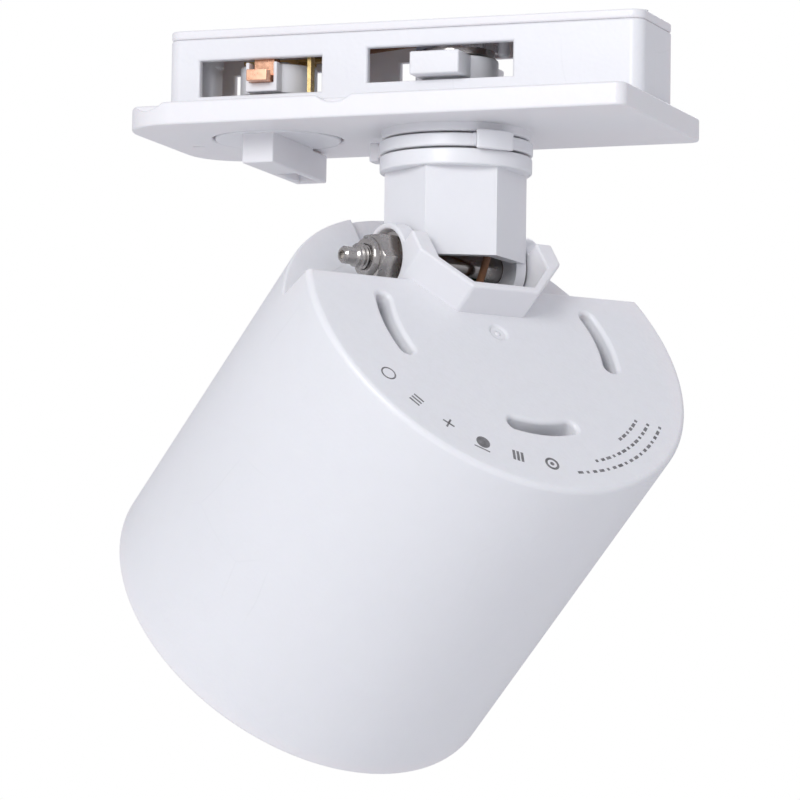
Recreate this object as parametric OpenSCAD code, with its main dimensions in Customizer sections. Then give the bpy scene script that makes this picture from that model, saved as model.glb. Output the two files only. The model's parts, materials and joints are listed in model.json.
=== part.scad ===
// Track spotlight: a short cylindrical head on a hexagonal neck under a two-wire track adapter.
// The origin is on the pan axis, on the plane where the adapter plate seats against the track.
// +X runs along the track, +Z points up into the track, and the light leaves the head's front.

/* [Pose at rest] */
// Direction the head leans towards, counted from +X
heading = 145; // [100:1:215]
// Tilt of the light beam away from straight down
tilt = 52; // [5:1:58]

/* [Adapter plate] */
// Length of the plate from the pan axis to its rounded end
plate_back = 49; // [48:0.5:51]
// Length of the plate from the pan axis to its square end
plate_front = 33.5; // [33:0.5:37]
// Width of the plate
plate_w = 39; // [37:0.5:41]
// Thickness of the plate
plate_t = 3.6; // [3.4:0.1:3.9]
// Width of the adapter body that enters the track slot
slot_body_w = 16; // [15.5:0.1:16.5]
// Height of the adapter body above the plate
slot_body_h = 13; // [12.5:0.1:14]
// Distance from the pan axis to the contact lever's axis
lever_x = 29.5; // [29:0.5:30.5]

/* [Neck] */
// Width of the hexagonal neck across its flats
neck_af = 19; // [18:0.5:19.5]
// Depth of the tilt pivot below the track seat
pivot_drop = 24.3; // [23:0.1:27]
// Diameter of the neck's flange
flange_d = 23.5; // [22:0.5:25]

/* [Head] */
// Outside diameter of the head
head_d = 65; // [64:1:68]
// Length of the head
head_l = 66; // [65:1:72]
// Thickness of the head's side wall
wall = 2; // [1.6:0.1:2.2]
// Distance from the head's axis to the tilt pivot
pivot_v = 16.2; // [16:0.1:16.5]
// Depth of the tilt pivot in front of the rear face
pivot_u = 2.4; // [2.2:0.1:2.6]
// Distance from the head's axis to the notch edge on the rear face
notch_v = 9.8; // [9.5:0.1:10]
// Depth of the notch floor in front of the rear face
notch_u = 8.2; // [8:0.1:8.4]
// Diameter of the pivot bolt
bolt_d = 4; // [4:0.5:5]

/* [Hidden] */

// Fits and finish of facets
run_gap = 0.08;
move_gap = 0.3;
$fn = 72;

// Heights of the pieces stacked under the plate
boss_h = 1.4;
ring_top = -plate_t - boss_h - move_gap;
ring_t = 2;
flange_top = ring_top - ring_t - move_gap;
flange_t = 2.5;
flange_bottom = flange_top - flange_t;

// Pan stack: the nipple turns in the lock cam's sleeve, and the sleeve turns in the base
nipple_r = 4.6;
nipple_hole_r = 3.2;
sleeve_in_r = nipple_r + run_gap;
sleeve_out_r = 6.4;
base_bore_r = sleeve_out_r + run_gap;
ring_r = 11.85;
boss_r = 11.5;
lug_z = 4;
lug_t = 3.6;
lug_reach = 10.6;
nut_seat = lug_z + lug_t + move_gap;
pan_nut_t = 1.2;
nipple_top = nut_seat + 1 + pan_nut_t;
wire_deck = nipple_top + 0.7;
stop_peg_x = 7.6;
stop_reach = 8;

// Contact lever and its carrier
lever_shaft_r = 3.6;
recess_r = 10.2;
recess_depth = 1.5;
disc_r = 9.8;
bar_w = 5.2;
bar_near = 8.6;
bar_far = 14.6;
bar_h = 4.7;
carrier_z = 3;
carrier_t = 4.6;
contact_reach = 9.6;

// Body that enters the track slot
body_back = plate_back - 4;
body_front = plate_front - 1;
body_l = body_back + body_front;
body_mid = (body_front - body_back) / 2;
body_wall = 1.5;
cover_t = 1.4;
cover_screw_x = [3.4 - body_back, body_front - 3.4];

// Neck
hex_r = neck_af / 2 / cos(30);
neck_wall = 1.8;
lug_r = 5.6;
front_cut = 6.6;
rear_cut = 0.6;

// Head
head_r = head_d / 2;
cavity_r = head_r - wall;
back_t = 2.4;
ear_in = neck_af / 2 + 2 * move_gap;
ear_t = 3;
ear_out = ear_in + ear_t;
ear_r = 5.6;
cradle_h = 5.6;
cradle_t = 1.3;
cradle_in_v = pivot_v - hex_r - move_gap;
cradle_half = 5.6;
slot_pitch_r = 19.7;
slot_half_angle = 15;
slot_r = 1.3;
nut_af = 7;
nut_t = 5;
washer_t = 0.5;
washer_r = 4.4;
nut_sink = 1.6;
nut_pocket_r = 4.6;

// Inside the head, measured from the rear face towards the light
clamp_u = 14;
board_u = 20;
board_t = 1.6;
sink_u = 37;
sink_plate = 3.4;
fin_h = 7;
led_u = sink_u + sink_plate;
lens_u = head_l - 3.4;
rim_r = cavity_r - 0.04;

// Bosses inside the cup that the heat sink and the driver board are screwed to
boss_angles = [60, 180, 300];
sink_boss_r = 27;
board_boss_r = 20;
board_boss_x = -8;
clamp_x = -6;
clamp_screw_y = 6.6;
clamp_t = 2.4;

// Places pieces that turn with the neck: +X is where the head leans, +Y the bolt's nut end
module neck_frame() {
    rotate([0, 0, heading]) children();
}

// Places pieces of the head: +Z is the light's direction from the rear face, +X the notch side
module head_frame() {
    neck_frame()
        translate([0, 0, -pivot_drop])
            rotate([0, -tilt, 0])
                translate([-pivot_v, 0, pivot_u])
                    rotate([180, 0, 0])
                        children();
}

// A tube or disc with a centre hole
module ring(r_out, r_in, h) {
    difference() {
        cylinder(r = r_out, h = h);
        translate([0, 0, -1]) cylinder(r = r_in, h = h + 2);
    }
}

// A hexagon prism with the given width across flats, flats facing +Y and -Y
module hexagon(af, h) {
    cylinder(r = af / 2 / cos(30), h = h, $fn = 6);
}

// A flat rectangle centred in X and Y with rounded corners
module rounded_plate(size_x, size_y, h, r) {
    linear_extrude(h) union() {
        square([size_x - 2 * r, size_y], center = true);
        square([size_x, size_y - 2 * r], center = true);
        for (sx = [-1, 1], sy = [-1, 1])
            translate([sx * (size_x / 2 - r), sy * (size_y / 2 - r)]) circle(r = r);
    }
}

// A pan-head screw pointing along -Z, its head's underside at the origin
module screw(d, length, head_d, head_h) {
    translate([0, 0, -length]) cylinder(d = d, h = length);
    difference() {
        cylinder(d = head_d, h = head_h, $fn = 32);
        translate([-head_d / 2, -0.3, head_h - 0.5]) cube([head_d, 0.6, 1]);
    }
}

// Direction of the wire at point i
function wire_dir(p, i) =
    let (v = p[min(i + 1, len(p) - 1)] - p[max(i - 1, 0)]) v / norm(v);

// A round wire swept along points, with flat ends
module wire(points, d) {
    sides = 8;
    n = len(points);
    rings = [for (i = [0 : n - 1])
        let (t = wire_dir(points, i), c = cross(t, [0.12, 1, 0.05]), e = c / norm(c), f = cross(t, e))
            for (k = [0 : sides - 1])
                points[i] + d / 2 * (cos(360 * k / sides) * e + sin(360 * k / sides) * f)];
    walls = [for (i = [0 : n - 2], k = [0 : sides - 1])
        [i * sides + k, i * sides + (k + 1) % sides, (i + 1) * sides + (k + 1) % sides,
            (i + 1) * sides + k]];
    start = [for (k = [sides - 1 : -1 : 0]) k];
    end = [for (k = [0 : sides - 1]) (n - 1) * sides + k];
    polyhedron(points = rings, faces = concat([start], walls, [end]), convexity = 4);
}

// ---------- adapter ----------

module plate_outline() {
    end_r = 9;
    corner_r = 1.8;
    union() {
        translate([-plate_back + end_r, -plate_w / 2])
            square([plate_back + plate_front - end_r - corner_r, plate_w]);
        translate([-plate_back, -plate_w / 2 + end_r]) square([end_r + 1, plate_w - 2 * end_r]);
        translate([plate_front - corner_r - 1, -plate_w / 2 + corner_r])
            square([corner_r + 1, plate_w - 2 * corner_r]);
        for (s = [-1, 1]) {
            translate([-plate_back + end_r, s * (plate_w / 2 - end_r)]) circle(r = end_r);
            translate([plate_front - corner_r, s * (plate_w / 2 - corner_r)]) circle(r = corner_r);
        }
    }
}

module adapter_base() {
    color("white") difference() {
        union() {
            translate([0, 0, -plate_t]) linear_extrude(plate_t) plate_outline();
            translate([0, 0, -plate_t - boss_h]) cylinder(r = boss_r, h = boss_h + 1);
            difference() {
                translate([body_mid, 0, -1])
                    rounded_plate(body_l, slot_body_w, slot_body_h - cover_t + 1, 2);
                translate([body_mid, 0, 0])
                    rounded_plate(body_l - 2 * body_wall, slot_body_w - 2 * body_wall,
                        slot_body_h + 1, 1);
            }
            for (x = cover_screw_x)
                translate([x, 0, -1]) cylinder(r = 2.6, h = slot_body_h - cover_t + 1);
        }
        // Bore for the lock cam's sleeve
        translate([0, 0, -plate_t - boss_h - 1]) cylinder(r = base_bore_r, h = 20);
        // Lever recess and shaft bore
        translate([-lever_x, 0, -plate_t - 1]) cylinder(r = recess_r, h = recess_depth + 1);
        translate([-lever_x, 0, -plate_t - 1]) cylinder(r = lever_shaft_r + run_gap, h = 20);
        // Index hole beside the recess
        translate([-plate_back + 5, 3, -plate_t - 1]) cylinder(r = 0.8, h = plate_t - 0.4);
        // Windows that the lock lugs and the contacts swing through
        translate([-11.8, -slot_body_w, lug_z - 0.5])
            cube([23.6, 2 * slot_body_w, lug_t + 1.8]);
        translate([-lever_x - 10.1, -slot_body_w, carrier_z - 0.5])
            cube([20.2, 2 * slot_body_w, carrier_t + 1]);
        // Pilot holes of the cover screws
        for (x = cover_screw_x)
            translate([x, 0, 2]) cylinder(r = 1.1, h = slot_body_h);
        // Moulded dips in the plate's upper edges
        for (x = [-plate_back + 5, -plate_back + 36], s = [-1, 1])
            translate([x, s * (plate_w / 2 - 1.5), 3.2]) rotate([90, 0, 0])
                cylinder(r = 4.3, h = 3.2, center = true);
    }
}

module adapter_cover() {
    color("white") difference() {
        union() {
            translate([body_mid, 0, slot_body_h - cover_t])
                rounded_plate(body_l, slot_body_w, cover_t, 2);
            // Peg that the stop washer's tab runs against
            translate([stop_peg_x, 0, nut_seat]) cylinder(r = 0.9, h = slot_body_h - nut_seat - 0.5);
        }
        for (x = cover_screw_x)
            translate([x, 0, 0]) cylinder(r = 1.5, h = slot_body_h + 1);
    }
}

module cover_screws() {
    color("silver")
        for (x = cover_screw_x)
            translate([x, 0, slot_body_h]) screw(2, 8, 3.8, 1);
}

// One of the two fixed brass wipers that the turning contacts press on
module wiper(side) {
    y = side * 5.1;
    translate([-lever_x, y, 0]) {
        translate([-side * 7.3 - 0.3, -0.8, 0]) cube([0.6, 1.6, 9.6]);
        translate([-7.6, -1, 9.3]) cube([15.2, 2, 0.5]);
        translate([-4, -0.6, 8.7]) cube([8, 1.2, 0.8]);
    }
}

module live_terminal() {
    color("gold") wiper(1);
}

module neutral_terminal() {
    color("gold") wiper(-1);
}

// A wire that runs from a wiper over the lock lugs and down to the nipple's mouth
module adapter_wire(side) {
    wire([[-lever_x + 3, side * 5.1, 10.4], [-lever_x + 8, side * 5.1, 10.4],
        [-16, side * 4, wire_deck], [-8, side * 1.7, wire_deck], [-2.4, side * 1.2, wire_deck],
        [-1, side * 1.1, wire_deck - 0.3], [-0.4, side * 1.1, wire_deck - 0.9]], 1.1);
}

module adapter_live_wire() {
    color("saddlebrown") adapter_wire(1);
}

module adapter_neutral_wire() {
    color("royalblue") adapter_wire(-1);
}

module detent_spring() {
    color("silver") {
        translate([-lever_x + 6.4, -4, 0]) cube([4.2, 8, 0.4]);
        translate([-lever_x + 6.4, -4, 0]) cube([0.4, 8, 2]);
    }
}

// ---------- contact lever ----------

module contact_lever() {
    color("white") translate([-lever_x, 0, 0]) difference() {
        union() {
            translate([0, 0, -plate_t - 0.1]) cylinder(r = disc_r, h = recess_depth - 0.2);
            translate([0, 0, -plate_t - 0.1])
                cylinder(r = lever_shaft_r, h = carrier_z + plate_t + 0.1);
            translate([-bar_w / 2, -bar_near, -plate_t - bar_h])
                cube([bar_w, bar_near + bar_far, bar_h - move_gap]);
            translate([-bar_w / 2, -bar_near, -plate_t - bar_h / 2])
                cube([bar_w, 2 * bar_near, bar_h / 2 + 0.2]);
        }
        // Hollow under the bar
        translate([-bar_w / 2 + 1.2, bar_far - 11, -plate_t - bar_h - 1])
            cube([bar_w - 2.4, 9.4, 2.2]);
        translate([0, 0, -plate_t + 0.5]) cylinder(r = 1, h = 20);
    }
}

module contact_carrier() {
    color("white") translate([-lever_x, 0, carrier_z]) difference() {
        union() {
            cylinder(r = 6, h = carrier_t);
            translate([-2.6, -7.6, 0]) cube([5.2, 15.2, carrier_t]);
        }
        translate([0, 0, -1]) cylinder(r = 1.3, h = carrier_t + 2);
        for (s = [-1, 1])
            translate([-2, s * 6 - 2.6, 1.4]) cube([4, 5.2, carrier_t]);
    }
}

module carrier_screw() {
    color("silver") translate([-lever_x, 0, carrier_z + carrier_t]) screw(2, 6.5, 4, 0.9);
}

// A copper contact that reaches out over the track's conductor
module contact(side) {
    translate([-lever_x, 0, carrier_z]) {
        translate([-1.7, side > 0 ? 3.9 : -contact_reach, 1.4])
            cube([3.4, contact_reach - 3.9, 1.2]);
        translate([-1.7, side > 0 ? 3.9 : -6.3, 1.4]) cube([3.4, 2.4, 4.1]);
        translate([-1.7, side > 0 ? 7.9 : -contact_reach, 2.2])
            cube([3.4, contact_reach - 7.9, 1]);
    }
}

module live_contact() {
    color("peru") contact(1);
}

module neutral_contact() {
    color("peru") contact(-1);
}

// ---------- lock ring ----------

// A tab on the ring's rim, with a lip past the faces of the boss and the flange
module ring_tab(width, reach) {
    lip = 0.5;
    intersection() {
        union() {
            translate([ring_r - 1, -width / 2, ring_top - ring_t]) cube([reach, width, ring_t]);
            translate([ring_r + move_gap, -width / 2, ring_top - ring_t - lip])
                cube([reach, width, ring_t + 2 * lip]);
        }
        translate([0, 0, ring_top - ring_t - 1]) cylinder(r = reach, h = ring_t + 2);
    }
}

module lock_ring() {
    color("white") difference() {
        union() {
            translate([0, 0, ring_top - ring_t]) cylinder(r = ring_r, h = ring_t);
            // Small pointer tab, and a wide thumb grip
            rotate([0, 0, 180]) ring_tab(3, ring_r + 2);
            rotate([0, 0, 318]) ring_tab(6.4, ring_r + 1.3);
        }
        translate([0, 0, ring_top - ring_t - 1]) cylinder(r = sleeve_out_r, h = ring_t + 2);
    }
}

module lock_cam() {
    color("white") difference() {
        union() {
            translate([0, 0, ring_top - ring_t])
                cylinder(r = sleeve_out_r, h = lug_z + lug_t - ring_top + ring_t);
            translate([-4, -lug_reach, lug_z]) cube([8, 2 * lug_reach, lug_t]);
        }
        translate([0, 0, ring_top - ring_t - 1]) cylinder(r = sleeve_in_r, h = 30);
    }
}

// ---------- neck ----------

module neck() {
    neck_top = flange_bottom + pivot_drop;
    color("white") neck_frame() difference() {
        union() {
            translate([0, 0, flange_bottom]) cylinder(r = flange_d / 2, h = flange_t);
            intersection() {
                translate([0, 0, -pivot_drop + rear_cut]) hexagon(neck_af, neck_top - rear_cut);
                // The front is cut away above the pivot, so that the head can lean
                union() {
                    translate([-30, -30, -pivot_drop + rear_cut])
                        cube([30 + lug_r, 60, neck_top - rear_cut]);
                    translate([-30, -30, -pivot_drop + front_cut]) cube([60, 60, neck_top]);
                }
            }
            for (s = [-1, 1])
                translate([0, s * (neck_af / 2 - neck_wall / 2), -pivot_drop]) rotate([90, 0, 0])
                    cylinder(r = lug_r, h = neck_wall, center = true);
        }
        // Hollow for the wires
        translate([0, 0, -pivot_drop - 10])
            hexagon(neck_af - 2 * neck_wall, neck_top + 10 - 1.5);
        // Bore for the nipple and for the pivot bolt
        translate([0, 0, flange_bottom - 3]) cylinder(r = nipple_r, h = 10);
        translate([0, 0, -pivot_drop]) rotate([90, 0, 0])
            cylinder(r = bolt_d / 2 + run_gap, h = 60, center = true);
    }
}

module nipple() {
    color("silver") neck_frame() difference() {
        union() {
            translate([0, 0, flange_bottom - 1.5])
                cylinder(r = nipple_r, h = nipple_top - flange_bottom + 1.5);
            translate([0, 0, flange_bottom - 2.7]) cylinder(r = 6.4, h = 1.2);
        }
        translate([0, 0, flange_bottom - 5]) cylinder(r = nipple_hole_r, h = 40);
    }
}

module nipple_nut() {
    color("silver") neck_frame() translate([0, 0, nut_seat + 1]) difference() {
        hexagon(11, pan_nut_t);
        translate([0, 0, -1]) cylinder(r = nipple_r, h = 4);
    }
}

module spring_washer() {
    color("silver") neck_frame() translate([0, 0, nut_seat + 0.5]) ring(5.9, nipple_r, 0.5);
}

module stop_washer() {
    color("silver") neck_frame() translate([0, 0, nut_seat]) difference() {
        union() {
            cylinder(r = 5.9, h = 0.5);
            translate([4, -1.2, 0]) cube([stop_reach - 4, 2.4, 0.5]);
        }
        translate([0, 0, -1]) cylinder(r = nipple_r, h = 3);
    }
}

// A wire from the nipple's mouth through the neck to just above the pivot bolt
module neck_wire(side, x_end) {
    neck_frame()
        wire([[0, side * 1.1, nut_seat + 1], [0, side * 1.1, flange_bottom - 1],
            [0.3 * x_end, side * 1.6, flange_bottom - 4],
            [0.85 * x_end, side * 2.5, -pivot_drop + 5.4],
            [x_end, side * 2.9, -pivot_drop + 2.5]], 1.2);
}

// The live wire passes behind the bolt and the neutral wire in front of it
module neck_live_wire() {
    color("saddlebrown") neck_wire(-1, -4.9);
}

module neck_neutral_wire() {
    color("royalblue") neck_wire(1, 4.7);
}

// ---------- head ----------

// Outer cup with rounded rims
module cup_outer() {
    edge = 1;
    rotate_extrude($fn = 120) union() {
        translate([0, edge]) square([head_r, head_l - 1.5 * edge]);
        square([head_r - edge, head_l]);
        translate([head_r - edge, edge]) circle(r = edge, $fn = 32);
        translate([head_r - edge / 2, head_l - edge / 2]) circle(r = edge / 2, $fn = 32);
    }
}

// The notch's side view, grown by a wall thickness
module notch_space(grow) {
    rotate([90, 0, 0]) linear_extrude(2 * head_d, center = true)
        polygon([[notch_v - grow, -20], [notch_v - grow, grow * 0.2],
            [notch_v + 2.4 - grow, notch_u + grow], [head_d, notch_u + grow], [head_d, -20]]);
}

// Plan of the cradle that the neck swings in, grown by a wall thickness
module cradle_plan(grow) {
    v0 = cradle_in_v - grow;
    w0 = cradle_half + 0.42 * grow;
    rise = ear_out - w0;
    polygon([[v0, -w0], [v0 + rise, -ear_out], [pivot_v + 2, -ear_out],
        [pivot_v + 2, ear_out], [v0 + rise, ear_out], [v0, w0]]);
}

module cradle_walls() {
    intersection() {
        translate([0, 0, -cradle_h]) linear_extrude(cradle_h + notch_u + wall)
            cradle_plan(cradle_t);
        translate([0, 0, -cradle_h]) linear_extrude(cradle_h + notch_u + wall)
            translate([cradle_in_v - cradle_t - 1, -ear_out])
                square([pivot_v - 1.4 - cradle_in_v + cradle_t + 1, 2 * ear_out]);
    }
}

module ears() {
    for (s = [-1, 1])
        translate([0, s * (ear_in + ear_out) / 2, 0]) {
            translate([pivot_v, 0, pivot_u]) rotate([90, 0, 0])
                cylinder(r = ear_r, h = ear_t, center = true);
            translate([pivot_v - ear_r, -ear_t / 2, pivot_u])
                cube([2 * ear_r, ear_t, notch_u + wall - pivot_u]);
        }
}

module vent_slots() {
    for (a = [90, 180, 270]) {
        rotate([0, 0, a - slot_half_angle])
            rotate_extrude(angle = 2 * slot_half_angle) translate([slot_pitch_r - slot_r, -1])
                square([2 * slot_r, back_t + 2]);
        for (e = [-1, 1])
            rotate([0, 0, a + e * slot_half_angle]) translate([slot_pitch_r, 0, -1])
                cylinder(r = slot_r, h = back_t + 2);
    }
}

module housing() {
    color("white") head_frame() difference() {
        union() {
            difference() {
                cup_outer();
                difference() {
                    translate([0, 0, back_t]) cylinder(r = cavity_r, h = head_l);
                    notch_space(wall);
                    for (a = boss_angles)
                        rotate([0, 0, a]) translate([sink_boss_r, 0, 0])
                            cylinder(r = 3, h = sink_u);
                    for (s = [-1, 1]) {
                        translate([board_boss_x, s * board_boss_r, 0])
                            cylinder(r = 2.6, h = board_u);
                        translate([clamp_x, s * clamp_screw_y, 0])
                            cylinder(r = 2.4, h = clamp_u - clamp_t);
                    }
                    translate([clamp_x - 3, -3.6, 0]) cube([6, 7.2, clamp_u - clamp_t - 0.2]);
                }
                notch_space(0);
            }
            cradle_walls();
            ears();
        }
        // Space between the ears that the neck swings in and the wires pass through
        translate([0, 0, -20]) linear_extrude(20 + notch_u + wall + 1)
            intersection() {
                cradle_plan(0);
                translate([0, -ear_in]) square([pivot_v + 2, 2 * ear_in]);
            }
        translate([pivot_v - 1, -ear_in, -20]) cube([7.8, 2 * ear_in, 20 + notch_u + wall + 1]);
        translate([pivot_v - 1, -ear_in, -20]) cube([head_d, 2 * ear_in, 20 + notch_u + 1.2]);
        // Bolt bore, and the pocket that the nut sits in
        translate([pivot_v, 0, pivot_u]) rotate([90, 0, 0])
            cylinder(r = bolt_d / 2 + run_gap, h = 60, center = true);
        translate([pivot_v, -ear_out + nut_sink, pivot_u]) rotate([90, 0, 0])
            cylinder(r = nut_pocket_r, h = 10);
        vent_slots();
        // Gate mark
        translate([0, 0, -0.7]) sphere(r = 1.4);
        // Pilot holes in the bosses
        for (a = boss_angles)
            rotate([0, 0, a]) translate([sink_boss_r, 0, sink_u - 9]) cylinder(r = 1.2, h = 20);
        for (s = [-1, 1])
            translate([board_boss_x, s * board_boss_r, board_u - 8]) cylinder(r = 1, h = 20);
        for (s = [-1, 1])
            translate([clamp_x, s * clamp_screw_y, back_t + 1]) cylinder(r = 1.1, h = 12);
    }
}

// Places pieces on the pivot axis: +Z points to the bolt's nut end
module pivot_axis() {
    head_frame() translate([pivot_v, 0, pivot_u]) rotate([90, 0, 0]) children();
}

module pivot_bolt() {
    nut_end = ear_out - nut_sink + washer_t + nut_t;
    head_h = 2.2;
    stub = 2;
    color("silver") pivot_axis() difference() {
        union() {
            translate([0, 0, -ear_out - washer_t])
                cylinder(d = bolt_d, h = ear_out + washer_t + nut_end + stub);
            translate([0, 0, nut_end]) cylinder(d = 0.7 * bolt_d, h = stub + 2);
            translate([0, 0, -ear_out - washer_t - head_h]) cylinder(d = 7.4, h = head_h);
        }
        translate([0, 0, -ear_out - washer_t - head_h - 1]) {
            translate([-0.5, -2.2, 0]) cube([1, 4.4, 2.2]);
            translate([-2.2, -0.5, 0]) cube([4.4, 1, 2.2]);
        }
        translate([0, 0, nut_end + stub + 1.2]) cylinder(d = 0.4 * bolt_d, h = 2);
    }
}

module pivot_nut() {
    color("silver") pivot_axis() translate([0, 0, ear_out - nut_sink + washer_t]) difference() {
        rotate([0, 0, 20]) hexagon(nut_af, nut_t);
        translate([0, 0, -1]) cylinder(d = bolt_d, h = nut_t + 2);
    }
}

module pivot_washers() {
    color("silver") pivot_axis() {
        translate([0, 0, ear_out - nut_sink]) ring(washer_r, bolt_d / 2 + run_gap, washer_t);
        translate([0, 0, -ear_out - washer_t]) ring(washer_r, bolt_d / 2 + run_gap, washer_t);
    }
}

module friction_washers() {
    washer = ear_in - neck_af / 2 - move_gap;
    color("dimgray") pivot_axis() {
        translate([0, 0, ear_in - washer]) ring(5, bolt_d / 2 + run_gap, washer);
        translate([0, 0, -ear_in]) ring(5, bolt_d / 2 + run_gap, washer);
    }
}

module cable_clamp() {
    color("white") head_frame() translate([clamp_x, 0, clamp_u - clamp_t]) difference() {
        rounded_plate(7.6, 18, clamp_t, 2);
        for (s = [-1, 1])
            translate([0, s * clamp_screw_y, -1]) cylinder(r = 1.3, h = 5);
        translate([-5, -2.9, -1]) cube([10, 5.8, 2.3]);
    }
}

module clamp_screws() {
    color("silver") head_frame()
        for (s = [-1, 1])
            translate([clamp_x, s * clamp_screw_y, clamp_u]) screw(2.2, 8, 4, 1.2);
}

module terminal_block() {
    color("ivory") head_frame() translate([-14, 0, board_u - 7]) difference() {
        translate([-4, -6, 0]) cube([8, 12, 7]);
        for (s = [-1, 1]) {
            translate([0, s * 3, -1]) cylinder(r = 1.6, h = 4);
            translate([0, s * 3, 3.5]) rotate([0, 90, 0]) cylinder(r = 1.2, h = 10);
        }
    }
}

// A wire that runs from a start beside the bolt, under the clamp and into the terminal block
module head_wire(side, start) {
    u = clamp_u - clamp_t + 0.5;
    head_frame()
        wire(concat(start, [[2, side * 2, u - 0.2],
            [clamp_x + 4, side * 1.6, u], [clamp_x - 4, side * 1.6, u],
            [clamp_x - 6.6, side * 2.6, u + 0.2], [clamp_x - 7.7, side * 3, u + 1.2],
            [clamp_x - 8, side * 3, board_u - 5]]), 1.2);
}

module head_live_wire() {
    color("saddlebrown") head_wire(1, [[12.2, 2.9, 2.8], [10.6, 2.9, 6.4], [7, 2.6, 9.8]]);
}

module head_neutral_wire() {
    color("royalblue") head_wire(-1, [[19.2, -2.9, 8], [16.4, -2.9, 10.4], [9, -2.6, 11.7]]);
}

module driver_board() {
    color("darkgreen") head_frame() translate([0, 0, board_u]) difference() {
        intersection() {
            cylinder(r = 26, h = board_t);
            translate([-23, -30, 0]) cube([40, 60, board_t]);
        }
        for (s = [-1, 1])
            translate([board_boss_x, s * board_boss_r, -1]) cylinder(r = 1.2, h = 4);
        for (a = boss_angles)
            rotate([0, 0, a]) translate([sink_boss_r, 0, -1]) cylinder(r = 3.6, h = 4);
    }
}

module driver_screws() {
    color("silver") head_frame()
        for (s = [-1, 1])
            translate([board_boss_x, s * board_boss_r, board_u + board_t])
                screw(2, 8, 3.8, 1.2);
}

module transformer() {
    color("goldenrod") head_frame() translate([2, 0, board_u + board_t]) {
        translate([-6.5, -7, 0]) cube([13, 14, 1.4]);
        translate([-5, -5.6, 1.4]) cube([10, 11.2, 4.6]);
        translate([-6.5, -7, 6]) cube([13, 14, 1.2]);
    }
}

module capacitors() {
    color("midnightblue") head_frame() {
        translate([-15, 8.5, board_u + board_t]) cylinder(r = 4, h = 7.8);
        translate([-15, -8.5, board_u + board_t]) cylinder(r = 4, h = 7.8);
        translate([11.5, 13, board_u + board_t]) cylinder(r = 2.5, h = 7);
    }
}

module inductor() {
    color("sienna") head_frame() translate([-10.4, 0, board_u + board_t]) {
        cylinder(r = 3.8, h = 0.9);
        translate([0, 0, 0.9]) cylinder(r = 3, h = 4);
        translate([0, 0, 4.9]) cylinder(r = 3.8, h = 0.9);
    }
}

module rectifier() {
    color("black") head_frame() translate([8.6, -15.5, board_u + board_t]) cube([5, 6.5, 2.4]);
}

module heat_sink() {
    color("silver") head_frame() {
        difference() {
            union() {
                translate([0, 0, sink_u]) cylinder(r = rim_r, h = sink_plate);
                for (i = [-4 : 4])
                    translate([-21, i * 4.6 - 0.6, sink_u - fin_h])
                        cube([42, 1.2, fin_h]);
            }
            for (a = boss_angles)
                rotate([0, 0, a]) translate([sink_boss_r, 0, 0]) {
                    translate([0, 0, sink_u - 1]) cylinder(r = 1.5, h = 10);
                    translate([0, 0, sink_u - fin_h - 1]) cylinder(r = 3.4, h = fin_h + 1);
                }
            for (s = [-1, 1])
                translate([0, s * 13, sink_u - fin_h - 1]) cylinder(r = 1.6, h = 20);
        }
    }
}

module heat_sink_screws() {
    color("silver") head_frame()
        for (a = boss_angles)
            rotate([0, 0, a]) translate([sink_boss_r, 0, led_u]) screw(2.4, 10, 4.6, 1.4);
}

module thermal_pad() {
    color("lightgray") head_frame() translate([0, 0, led_u]) cylinder(r = 9.6, h = 0.4);
}

module led_board() {
    color("whitesmoke") head_frame() translate([-8.5, -8.5, led_u + 0.4]) cube([17, 17, 1]);
}

module led_emitter() {
    color("gold") head_frame() translate([0, 0, led_u + 1.4]) cylinder(r = 5.6, h = 0.5);
}

module led_holder() {
    color("white") head_frame() translate([0, 0, led_u]) difference() {
        cylinder(r = 15.5, h = 3.2);
        translate([-8.7, -8.7, -1]) cube([17.4, 17.4, 2.5]);
        translate([0, 0, -1]) cylinder(r = 9.8, h = 1.5);
        translate([0, 0, -1]) cylinder(r = 7, h = 6);
        for (s = [-1, 1])
            translate([0, s * 13, -1]) cylinder(r = 1.6, h = 6);
    }
}

// A lead that passes the heat sink from the driver board to the holder
module led_lead(side) {
    head_frame()
        wire([[0, side * 13, board_u + board_t], [0, side * 13, led_u + 2]], 1.2);
}

module led_positive_lead() {
    color("red") led_lead(1);
}

module led_negative_lead() {
    color("black") led_lead(-1);
}

// Smooth bowl whose radius grows with the square root of the distance from the source
module reflector() {
    mouth_u = lens_u - 0.3;
    throat_u = led_u + 3.3;
    throat_r = 7.6;
    mouth_r = 26.5;
    steps = 14;
    depth = mouth_u - throat_u;
    function bowl_r(k) = sqrt(throat_r * throat_r + (mouth_r * mouth_r - throat_r * throat_r) * k);
    inner = [for (i = [0 : steps]) [bowl_r(i / steps), throat_u + depth * i / steps]];
    outer = [for (i = [steps : -1 : 0]) [bowl_r(i / steps) + 1, throat_u + depth * i / steps]];
    color("silver") head_frame() rotate_extrude() polygon(concat(inner, outer));
}

module front_lens() {
    color([0.85, 0.9, 0.95, 0.5]) head_frame() translate([0, 0, lens_u]) cylinder(r = 28.4, h = 1.6);
}

module front_bezel() {
    color("white") head_frame() difference() {
        translate([0, 0, head_l - 11]) cylinder(r = rim_r, h = 10.2);
        translate([0, 0, head_l - 12]) cylinder(r = 28.5, h = 10.2);
        translate([0, 0, head_l - 12]) cylinder(r = 26.6, h = 20);
    }
}

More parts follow.
